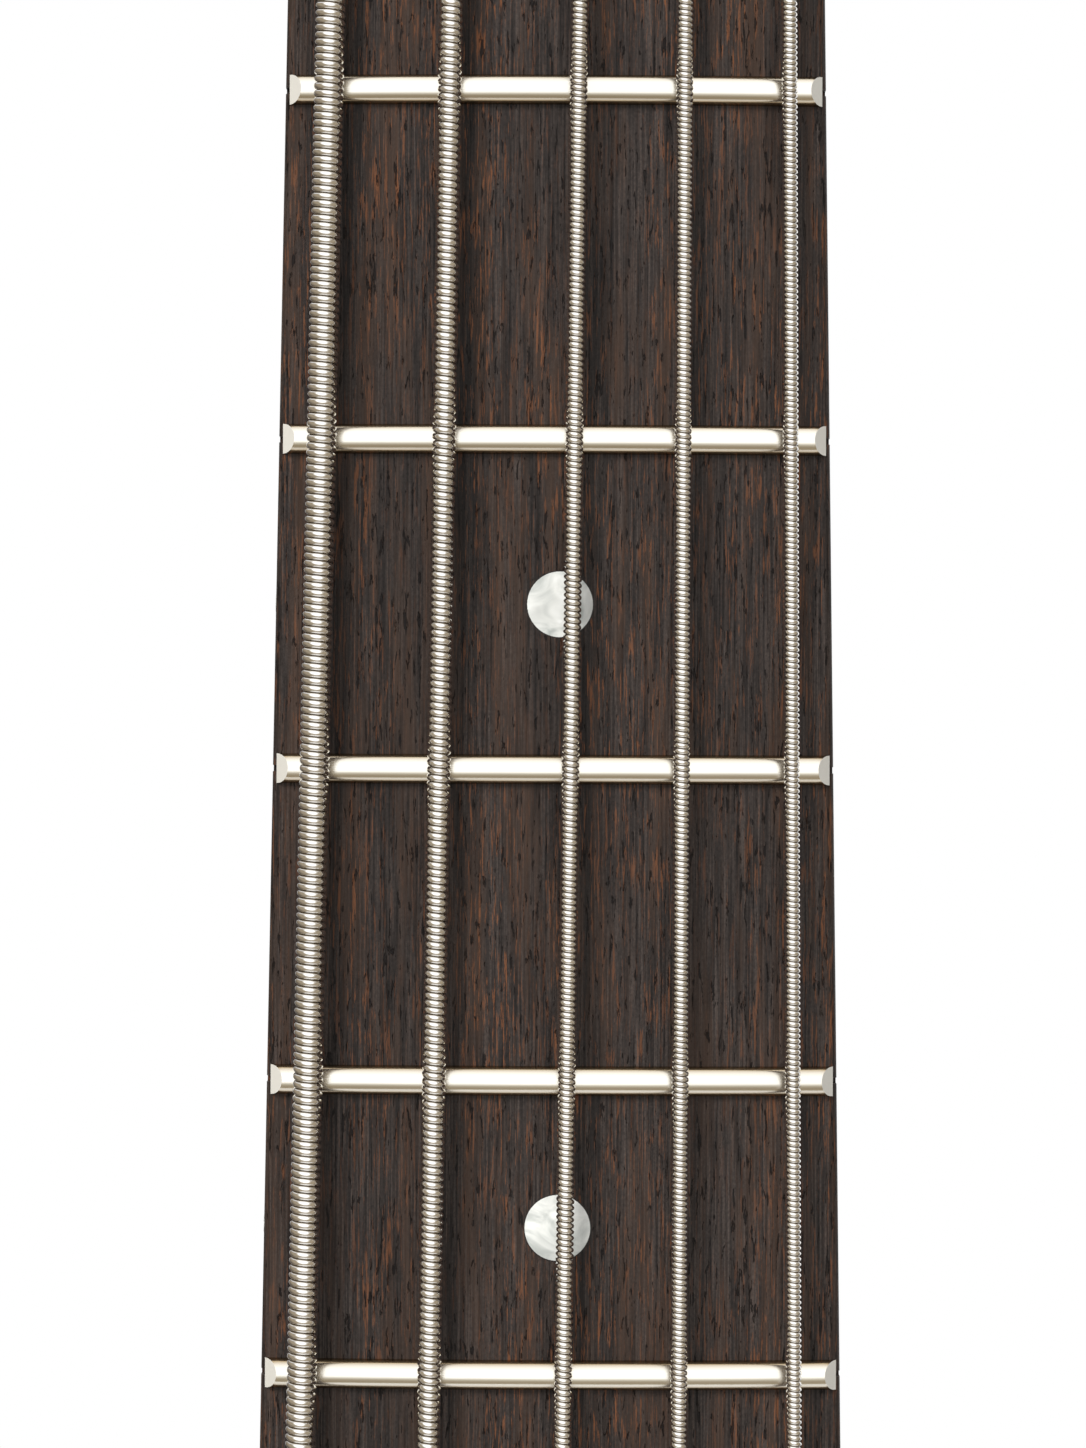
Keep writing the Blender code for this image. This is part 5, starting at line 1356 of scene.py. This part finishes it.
def scoop(spot, face, patch, degrees, out):
    """An ellipsoid that cuts a shallow patch into a face, given by its half sizes and its depth."""
    across, along, deep = patch
    share = math.sqrt(1 - ((CONTOUR_BOWL - deep) / CONTOUR_BOWL) ** 2)
    shape = bmesh.new()
    size = Matrix.Diagonal((across / share, along / share, CONTOUR_BOWL, 1.0))
    bmesh.ops.create_uvsphere(shape, u_segments=128, v_segments=96, radius=1.0, matrix=size)
    centre = (spot[0], BRIDGE_LINE + spot[1], face + out * (CONTOUR_BOWL - deep))
    return laid("scoop", from_bmesh(shape), UPRIGHT, centre, Matrix.Rotation(math.radians(degrees), 3, "Z"))


def make_body():
    depth = (BODY_TOP + BODY_BACK) / 2
    body = laid("body_wood", outline_mesh(body_outline(), BODY_THICKNESS, 14), UPRIGHT, (0, 0, depth))
    bevel(body, EDGE_RADIUS, 7)
    combine(body, scoop(FOREARM_SPOT, BODY_TOP, FOREARM_CONTOUR, FOREARM_TURN, 1))
    combine(body, scoop(RIB_SPOT, BODY_BACK, RIB_CONTOUR, RIB_TURN, -1))
    rings = []
    for v in (BOARD_END - SEAT, BOARD_END + 1.6 * HEEL_LENGTH):
        half = board_half(v) + SEAT
        top = BODY_TOP + MM
        rings.append(((half, v, POCKET_FLOOR), (half, v, top), (-half, v, top), (-half, v, POCKET_FLOOR)))
    cut(body, loft(rings))
    size = rounded_rectangle(PICKUP_LENGTH + 2 * PICKUP_GAP, PICKUP_WIDTH + 2 * PICKUP_GAP, PICKUP_CORNER)
    for _, x, v in pickup_places():
        mesh = outline_mesh(size, PICKUP_CAVITY_DEPTH + 2 * MM)
        cut(body, mesh, UPRIGHT, (x, v, BODY_TOP - PICKUP_CAVITY_DEPTH / 2 + MM))
    for grow, deep in ((SEAT, COVER_THICKNESS + SEAT), (-COVER_LEDGE, BODY_THICKNESS - CAVITY_ROOF)):
        mesh = outline_mesh(cover_outline(grow), deep + 2 * MM, 10)
        cut(body, mesh, UPRIGHT, (0, 0, BODY_BACK + deep / 2 - MM))
    holes = [((x, BRIDGE_LINE + up, BODY_TOP), 4 * CAVITY_ROOF) for _, x, up in KNOBS]
    cut(body, rods(holes, POT_SHAFT_RADIUS + SEAT, 32))
    reach = CUT_REACH / 4
    seat = (HORN_BUTTON[0], BOARD_END + HORN_BUTTON[1] + reach / 2, depth)
    cut(body, rods([(seat, reach)], BUTTON_RADIUS + MM, 48, "v"))
    v = BRIDGE_LINE + JACK_ABOVE_BRIDGE
    seat = (JACK_SEAT_X + CUT_REACH / 2, v, depth)
    cut(body, rods([(seat, CUT_REACH)], JACK_FLANGE_RADIUS + 1.0 * MM, 64, "x"))
    hole = ((JACK_SEAT_X, v, depth), 2 * (JACK_BARREL_LENGTH + SEAT))
    cut(body, rods([hole], JACK_BARREL_RADIUS + SEAT, 48, "x"))
    piece(even(settled(body)), WALNUT, stands_for="body")


# Pickups, controls and the fittings on the body

def make_pickups():
    points = rounded_rectangle(PICKUP_LENGTH, PICKUP_WIDTH, PICKUP_CORNER)
    head = screw_head(2.4 * MM, 0.9 * MM)
    for name, x, v in pickup_places():
        spot = (x, v, PICKUP_TOP - PICKUP_DEPTH / 2)
        cover = laid(f"pickup_cover_{name}", outline_mesh(points, PICKUP_DEPTH), UPRIGHT, spot)
        bevel(cover, 1.3 * MM, 4)
        seats = corner_seats(x, v, PICKUP_TOP, PICKUP_LENGTH / 2 - 5.4 * MM, PICKUP_WIDTH / 2 - 5.4 * MM)
        cut(cover, rods([(seat, 4 * MM) for seat in seats], 3.0 * MM, 32))
        body = f"{name}_pickup"
        piece(settled(cover), BLACK_PLASTIC, body, f"pickup_{name}")
        places = [seat_of((x, up, top - 1.8 * MM), 0.7 * i) for i, (x, up, top) in enumerate(seats)]
        copies(f"pickup_screws_{name}", head, places, body=body)


def make_control_cover():
    spot = (0, 0, BODY_BACK + COVER_THICKNESS / 2)
    cover = laid("cavity_cover", outline_mesh(cover_outline(0), COVER_THICKNESS, 14), UPRIGHT, spot)
    piece(bevel(cover, 0.3 * MM, 2), BLACK_PLASTIC, stands_for="control_cover")
    settled(cover)
    seats = cover_outline(-4 * MM)[::2]
    places = [seat_of((x, v, BODY_BACK), 0.9 * i, facing="back") for i, (x, v) in enumerate(seats)]
    copies("cover_screws", screw_head(2.5 * MM, 1.0 * MM), places, DARK_METAL)


def knurled_mesh(low, high, radius, ribs):
    """The knob's grip: fine upright ribs with softened ends."""
    rings = []
    soft = 0.35 * MM
    for height, inset in ((low, soft), (low + 0.4 * MM, 0.0), (high - 0.4 * MM, 0.0), (high, soft)):
        ring = []
        for i in range(ribs * 4):
            rib = (0.0, 0.16 * MM, 0.22 * MM, 0.16 * MM)[i % 4]
            reach = radius - 0.22 * MM + rib - inset
            angle = 2 * math.pi * i / (ribs * 4)
            ring.append((reach * math.cos(angle), reach * math.sin(angle), height))
        rings.append(ring)
    return loft(rings)


def make_knobs():
    for name, x, up in KNOBS:
        make_knob(name, (x, BRIDGE_LINE + up, BODY_TOP))


def make_knob(name, spot):
    body = f"{name}_knob"
    grip_top = KNOB_HEIGHT - 2.6 * MM
    grip = laid(f"knob_grip_{name}", knurled_mesh(1.8 * MM, grip_top, KNOB_RADIUS, 56), UPRIGHT, spot)
    cut(grip, rods([((0, -KNOB_RADIUS, 5 * MM), 4 * MM)], 1.6 * MM, 28, "v"), UPRIGHT, spot)
    piece(settled(grip), body=body, stands_for=f"knob_{name}", angle=25)
    profile = [(0, KNOB_HEIGHT)]
    for step in range(1, 8):
        angle = math.pi / 2 * step / 7
        radius = KNOB_RADIUS - 2.4 * MM + 2.0 * MM * math.sin(angle)
        profile.append((radius, KNOB_HEIGHT - 2.0 * MM * (1 - math.cos(angle))))
    profile += stepped((KNOB_RADIUS, grip_top, (-0.4, -0.2)), (0, grip_top, (0, -0.2)))
    cap = laid(f"knob_cap_{name}", turned_mesh(profile, 64), UPRIGHT, spot)
    low = (-0.6 * MM, KNOB_RADIUS * 0.35, KNOB_HEIGHT - 0.7 * MM)
    high = (0.6 * MM, KNOB_RADIUS * 1.2, KNOB_HEIGHT + MM)
    cut(cap, boxes((low, high)), UPRIGHT, spot)
    piece(settled(cap), body=body)
    low = (-0.55 * MM, KNOB_RADIUS * 0.36, KNOB_HEIGHT - 1.2 * MM)
    high = (0.55 * MM, KNOB_RADIUS - 2.1 * MM, KNOB_HEIGHT - 0.25 * MM)
    mark = laid(f"knob_pointer_{name}", boxes((low, high)), UPRIGHT, spot)
    piece(settled(bevel(mark, 0.12 * MM, 2, 50)), BLACK_PLASTIC, body)
    profile = stepped(
        (0, 0, (0, 1.9)),
        (KNOB_RADIUS, 0, (-0.8, 1.9), (-0.8, 1.0), (-0.3, 0.8), (0, 0.55)),
        (KNOB_RADIUS, SEAT, (-0.2, 0)),
        (POT_SHAFT_RADIUS, SEAT),
        (POT_SHAFT_RADIUS, -POT_SHAFT_LENGTH, (0, 0.4), (-0.4, 0)),
        (0, -POT_SHAFT_LENGTH),
    )
    piece(laid(f"knob_skirt_{name}", turned_mesh(profile, 64), UPRIGHT, spot), body=body)
    seat = (spot[0], spot[1] - KNOB_RADIUS + 1.3 * MM, spot[2] + 5 * MM)
    turn = Matrix.Rotation(math.pi / 2, 3, "X")
    grub = laid(f"knob_grub_{name}.001", hex_screw(1.5 * MM, 2.2 * MM), UPRIGHT, seat, turn)
    piece(grub, DARK_METAL, body)


def make_jack():
    out = SEAT + JACK_FLANGE_THICKNESS
    inner = -JACK_BARREL_LENGTH + JACK_END_WALL
    x, v, w = JACK_SEAT_X, BRIDGE_LINE + JACK_ABOVE_BRIDGE, (BODY_TOP + BODY_BACK) / 2
    turn = AXIS_TURNS["x"].to_3x3()
    profile = stepped(
        (0, inner),
        (JACK_BORE_RADIUS, inner),
        (JACK_BORE_RADIUS, out, (0, -0.3), (0.3, 0)),
        (JACK_BARREL_RADIUS, out, (1.6, 0)),
        (JACK_FLANGE_RADIUS, out, (-1.4, -0.25), (-0.3, -1.0)),
        (JACK_FLANGE_RADIUS, SEAT, (0, 0.4), (-0.1, 0)),
        (JACK_BARREL_RADIUS, SEAT),
        (JACK_BARREL_RADIUS, -JACK_BARREL_LENGTH),
        (0, -JACK_BARREL_LENGTH),
    )
    jack = laid("jack_ferrule", turned_mesh(profile, 72), UPRIGHT, (x, v, w), turn)
    piece(jack, stands_for="output_jack")
    angles = [math.pi * i / 3 for i in range(6)]
    points = [(5.0 * MM * math.cos(angle), 5.0 * MM * math.sin(angle)) for angle in angles]
    nut = laid("jack_nut", outline_mesh(points, 0.5 * MM), UPRIGHT, (x + out + 0.2 * MM, v, w), turn)
    bore = rods([((0, 0, 0), 6 * MM)], JACK_BORE_RADIUS + 0.25 * MM, 48)
    cut(bevel(nut, 0.12 * MM, 2, 50), bore, UPRIGHT, (x + out, v, w), turn)
    piece(settled(nut))


def make_neck_plate():
    points = rounded_rectangle(NECK_PLATE_WIDTH, NECK_PLATE_LENGTH, 5 * MM)
    v = BOARD_END + HEEL_LENGTH / 2
    face = BODY_BACK - SEAT - NECK_PLATE_THICKNESS
    mesh = outline_mesh(points, NECK_PLATE_THICKNESS)
    plate = laid("bolt_plate", mesh, UPRIGHT, (0, v, face + NECK_PLATE_THICKNESS / 2))
    bevel(plate, 0.6 * MM, 4)
    seats = corner_seats(0, v, face, NECK_PLATE_WIDTH / 2 - 7 * MM, NECK_PLATE_LENGTH / 2 - 7 * MM)
    cut(plate, rods([(seat, 1.2 * MM) for seat in seats], 4.9 * MM, 40))
    piece(settled(plate), stands_for="neck_plate")
    places = []
    for number, (x, up, w) in enumerate(seats):
        places.append(seat_of((x, up, w + 0.85 * MM), 0.8 * number + 0.3, facing="back"))
    copies("neck_bolts", screw_head(4.6 * MM, 0.9 * MM, 0.6 * MM), places)


def make_strap_buttons():
    middle = (BODY_TOP + BODY_BACK) / 2
    tail = (0, BRIDGE_LINE - TAIL_BELOW_BRIDGE, middle)
    horn = (HORN_BUTTON[0], BOARD_END + HORN_BUTTON[1], middle)
    head = screw_head(3.6 * MM, 0.9 * MM)
    profile = stepped(
        (0, BUTTON_HEIGHT, (0, -0.9), (3.9, -0.9), (4.3, -0.1)),
        (BUTTON_RADIUS, BUTTON_HEIGHT, (-2.4, 0), (-1.2, -0.25), (-0.3, -0.9), (0, -1.9), (-0.4, -3.0)),
        (BUTTON_WAIST, BUTTON_HEIGHT, (1.6, -4.4), (0.2, -5.8), (0, -7.2)),
        (BUTTON_WAIST, 0, (0.3, 3.4)),
        (BUTTON_RADIUS, 0, (-2.6, 2.0), (-1.3, 1.2)),
        (0, 0, (0, 1.2)),
    )
    felt = stepped(
        (0, 0, (0, 1.3)),
        (BUTTON_RADIUS, 0, (-1.2, 1.3), (-0.8, 0.8)),
        (BUTTON_RADIUS, SEAT, (-1.1, 0)),
        (0, SEAT),
    )
    for name, spot, angle in (("tail", tail, math.pi / 2), ("horn", horn, -math.pi / 2)):
        turn = Matrix.Rotation(angle, 3, "X")
        button = laid(f"strap_pin_{name}", turned_mesh(profile, 56), UPRIGHT, spot, turn)
        piece(button, stands_for=f"strap_button_{name}")
        piece(laid(f"felt_washer_{name}", turned_mesh(felt, 48), UPRIGHT, spot, turn), FELT)
        sink = Matrix.Translation((0, 0, BUTTON_HEIGHT - 0.8 * MM))
        place = UPRIGHT @ Matrix.Translation(spot) @ turn.to_4x4() @ sink
        copies(f"strap_screw_{name}", head, [place])


# Bridge

def make_bridge_plate():
    flange = BRIDGE_LINE - FLANGE_BEHIND_SADDLE
    back = flange - FLANGE_WALL
    base = BODY_TOP + SEAT
    left = BRIDGE_OFFSET - BRIDGE_WIDTH / 2
    right = BRIDGE_OFFSET + BRIDGE_WIDTH / 2
    front = back + BRIDGE_LENGTH
    top = base + FLANGE_HEIGHT
    rail_top = base + RAIL_HEIGHT
    plate = laid("bridge_base", boxes(((left, back, base), (right, front, BRIDGE_BASE_TOP))))
    for low, high in (
        ((left, back, base), (right, flange, top)),
        ((left, back, base), (left + RAIL_THICKNESS, front, rail_top)),
        ((right - RAIL_THICKNESS, back, base), (right, front, rail_top)),
    ):
        combine(plate, laid("wall", boxes((low, high))), "UNION")
    settled(plate)
    settled(bevel(plate, 0.5 * MM, 3, 40))
    for index, (_, diameter, _, _, _) in enumerate(STRINGS):
        half = diameter / 2 + SEAT
        x = bridge_x(index)
        cut(plate, boxes(((x - half, back - MM, NOTCH_LINE - SEAT), (x + half, flange + MM, top + MM))))
    piece(settled(plate), stands_for="bridge_plate")
    places = []
    for i in range(5):
        seat = (left + 9 * MM + i * (BRIDGE_WIDTH - 18 * MM) / 4, front - 4.2 * MM, BRIDGE_BASE_TOP)
        places.append(seat_of(seat, 0.6 * i))
    copies("bridge_screws", screw_head(3.4 * MM, 1.0 * MM, 0.3 * MM), places)
    cap = screw_head(ADJUSTER_HEAD_RADIUS, 0.8 * MM, ADJUSTER_HEAD_LENGTH - 1.0 * MM)
    turn = Matrix.Rotation(math.pi / 2, 4, "X")
    for index, (name, _, _, set_back, _) in enumerate(STRINGS):
        x = bridge_x(index)
        tip = BRIDGE_LINE - set_back + SADDLE_FRONT + SADDLE_TRAVEL + 1 * MM
        ends = [Vector((x, v, ADJUSTER_LINE)) for v in (back + 0.3 * MM, tip)]
        piece(laid(f"adjuster_{name}", wound_mesh(ends, ADJUSTER_RADIUS, 0.5 * MM, 14, 5, 0.3)), angle=180)
        seat = (x, back - ADJUSTER_HEAD_LENGTH + 0.8 * MM, ADJUSTER_LINE)
        copies(f"adjuster_head_{name}", cap, [UPRIGHT @ Matrix.Translation(seat) @ turn])


def make_saddle(index):
    name, diameter, _, set_back, _ = STRINGS[index]
    x = bridge_x(index)
    crest = BRIDGE_LINE - set_back
    front, back = crest + SADDLE_FRONT, crest - SADDLE_BACK
    top = STRING_AT_BRIDGE - camber_drop(x) - SEAT + SADDLE_GROOVE
    foot = BRIDGE_BASE_TOP + SEAT
    rings = []
    for side in (-1, 1):
        edge = x + side * SADDLE_WIDTH / 2
        ring = [(edge, front, foot + SADDLE_LIFT), (edge, front, top - 4.5 * MM)]
        for share in (step / 6 for step in range(7)):
            ring.append((edge, crest + 1.5 * MM - 3.5 * MM * share, top - 0.5 * MM * (2 * share - 1) ** 2))
        rings.append([*ring, (edge, back, top - 2.5 * MM), (edge, back, foot + SADDLE_LIFT)])
    saddle = bevel(laid(f"saddle_block_{name}", loft(rings)), 0.35 * MM, 3, 35)
    cut(saddle, rods([((x, crest, ADJUSTER_LINE), 60 * MM)], ADJUSTER_RADIUS + 0.12 * MM, 36, "v"))
    behind, bend, nut = string_corners(index)
    before, after = (bend + (end - bend).normalized() * 20 * MM for end in (behind, nut))
    cut(saddle, loft(slot_rings([before, bend, after], diameter / 2 + SEAT + 0.15 * MM)))
    body = f"saddle_{name}_block"
    screws = [(x + side * GRUB_OFFSET, crest - 4.0 * MM) for side in (-1, 1)]
    cut(saddle, rods([((a, b, top), 24 * MM) for a, b in screws], GRUB_RADIUS + 0.1 * MM, 32))
    piece(settled(saddle), body=body, stands_for=f"saddle_{name}")
    grub = hex_screw(GRUB_RADIUS, top - 2.6 * MM - foot)
    places = [UPRIGHT @ Matrix.Translation((a, b, top - 2.6 * MM)) for a, b in screws]
    copies(f"height_screws_{name}", grub, places, DARK_METAL, body)


# Camera, light and backdrop

def make_camera():
    """Straight on to the fingerboard, as far away as the frame's height asks for."""
    data = bpy.data.cameras.new("camera")
    data.lens = LENS
    data.sensor_width = SENSOR
    data.sensor_fit = "AUTO"
    camera = bpy.data.objects.new("camera", data)
    bpy.context.scene.collection.objects.link(camera)
    distance = IMAGE_HEIGHT / PIXELS_PER_MM * MM * LENS / SENSOR
    z = -MARK_BELOW_NUT + (MARK_PIXEL_Y - IMAGE_HEIGHT / 2) / PIXELS_PER_MM * MM
    x = (IMAGE_WIDTH / 2 - CENTRE_PIXEL_X) / PIXELS_PER_MM * MM
    camera.location = (x, -FRET_TOP - distance, z)
    camera.rotation_euler = (math.pi / 2, LEAN, 0)
    data.clip_start = 0.01
    data.clip_end = 50.0
    bpy.context.scene.camera = camera


def area_light(name, spot, aim, size, power):
    data = bpy.data.lights.new(name, "AREA")
    data.shape = "RECTANGLE"
    data.size, data.size_y = size
    data.energy = power
    light = bpy.data.objects.new(name, data)
    light.location = spot
    light.rotation_euler = (Vector(aim) - Vector(spot)).to_track_quat("-Z", "Y").to_euler()
    light.visible_glossy = False
    bpy.context.scene.collection.objects.link(light)


def make_world():
    """White to the camera, a soft sky for diffuse light, and a studio for gloss.

    The studio is a soft light in front, one above and the white backdrop behind, warm and dim elsewhere.
    """
    world = bpy.data.worlds.new("studio")
    bpy.context.scene.world = world
    world.use_nodes = True
    tree = world.node_tree
    path = add_node(tree, "LightPath").outputs
    way = add_node(tree, "TexCoord").outputs["Generated"]
    front, above, behind = (
        add_node(tree, "VectorMath", {"operation": "DOT_PRODUCT"}, _0=way, _1=aim).outputs["Value"]
        for aim in (STUDIO_FRONT, STUDIO_ABOVE, STUDIO_BEHIND)
    )
    aside = maths(tree, "ADD", add_node(tree, "SeparateXYZ", Vector=way).outputs["X"], STUDIO_LEFT)
    aside = maths(tree, "MULTIPLY", aside, aside)
    front = maths(tree, "SUBTRACT", front, maths(tree, "MULTIPLY", aside, STUDIO_NARROW))
    share = add_node(tree, "Math", {"operation": "MULTIPLY_ADD"}, _0=front, _1=0.5, _2=0.5).outputs[0]
    studio = ramp_of(tree, share, [(0.5 + at / 2, color) for at, color in STUDIO_TONES])
    studio = mixed(tree, 1.0, studio, ramp_of(tree, above, [(0.55, 0.0), (0.88, 1.0)]), "LIGHTEN")
    studio = mixed(tree, 1.0, studio, ramp_of(tree, behind, [(0.45, 0.0), (0.85, 1.0)]), "LIGHTEN")
    studio = mixed(tree, 1.0, studio, (STUDIO_POWER,) * 3, "MULTIPLY")
    color = mixed(tree, path["Is Glossy Ray"], (SKY_GREY,) * 3, studio)
    seen = maths(tree, "MAXIMUM", path["Is Camera Ray"], path["Is Transmission Ray"])
    color = mixed(tree, seen, color, (1.0, 1.0, 1.0))
    tree.links.new(color, tree.nodes["Background"].inputs["Color"])


def make_stage():
    """A round white floor whose rim melts into the backdrop and which keeps the shadow."""
    shape = bmesh.new()
    bmesh.ops.create_circle(shape, cap_ends=True, segments=128, radius=FLOOR_RADIUS)
    floor = laid("floor", from_bmesh(shape), Matrix.Translation((0, 0, FLOOR_LEVEL)))
    look, tree, shader = new_look("white_floor", 0.9)
    shader.inputs["Base Color"].default_value = (0.82, 0.82, 0.82, 1)
    path = add_node(tree, "LightPath").outputs
    white = add_node(tree, "Emission", Color=(1, 1, 1, 1), Strength=1.0).outputs[0]
    flat = stretched(tree, (1, 1, 0))
    reach = add_node(tree, "VectorMath", {"operation": "LENGTH"}, _0=flat).outputs["Value"]
    share = ramp_of(tree, maths(tree, "DIVIDE", reach, FLOOR_RADIUS), [(0.25, 0.84), (0.95, 1.0)])
    shadow = add_node(tree, "MixShader", _0=share, _1=shader.outputs[0], _2=white).outputs[0]
    seen = maths(tree, "MAXIMUM", path["Is Camera Ray"], path["Is Transmission Ray"])
    seen = maths(tree, "MAXIMUM", seen, path["Is Glossy Ray"])
    show = add_node(tree, "MixShader", _0=seen, _1=shader.outputs[0], _2=shadow).outputs[0]
    tree.links.new(show, tree.nodes["Material Output"].inputs["Surface"])
    floor.data.materials.append(look)


def main():
    make_camera()
    make_world()
    make_stage()
    for light in LAMPS:
        area_light(*light)
    make_fingerboard()
    make_frets()
    make_inlays()
    make_strings()
    make_neck()
    make_nut()
    make_tuners()
    make_body()
    make_pickups()
    make_control_cover()
    make_knobs()
    make_jack()
    make_neck_plate()
    make_strap_buttons()
    make_bridge_plate()
    for index in range(len(STRINGS)):
        make_saddle(index)
    bpy.context.scene.view_settings.view_transform = "Standard"


main()
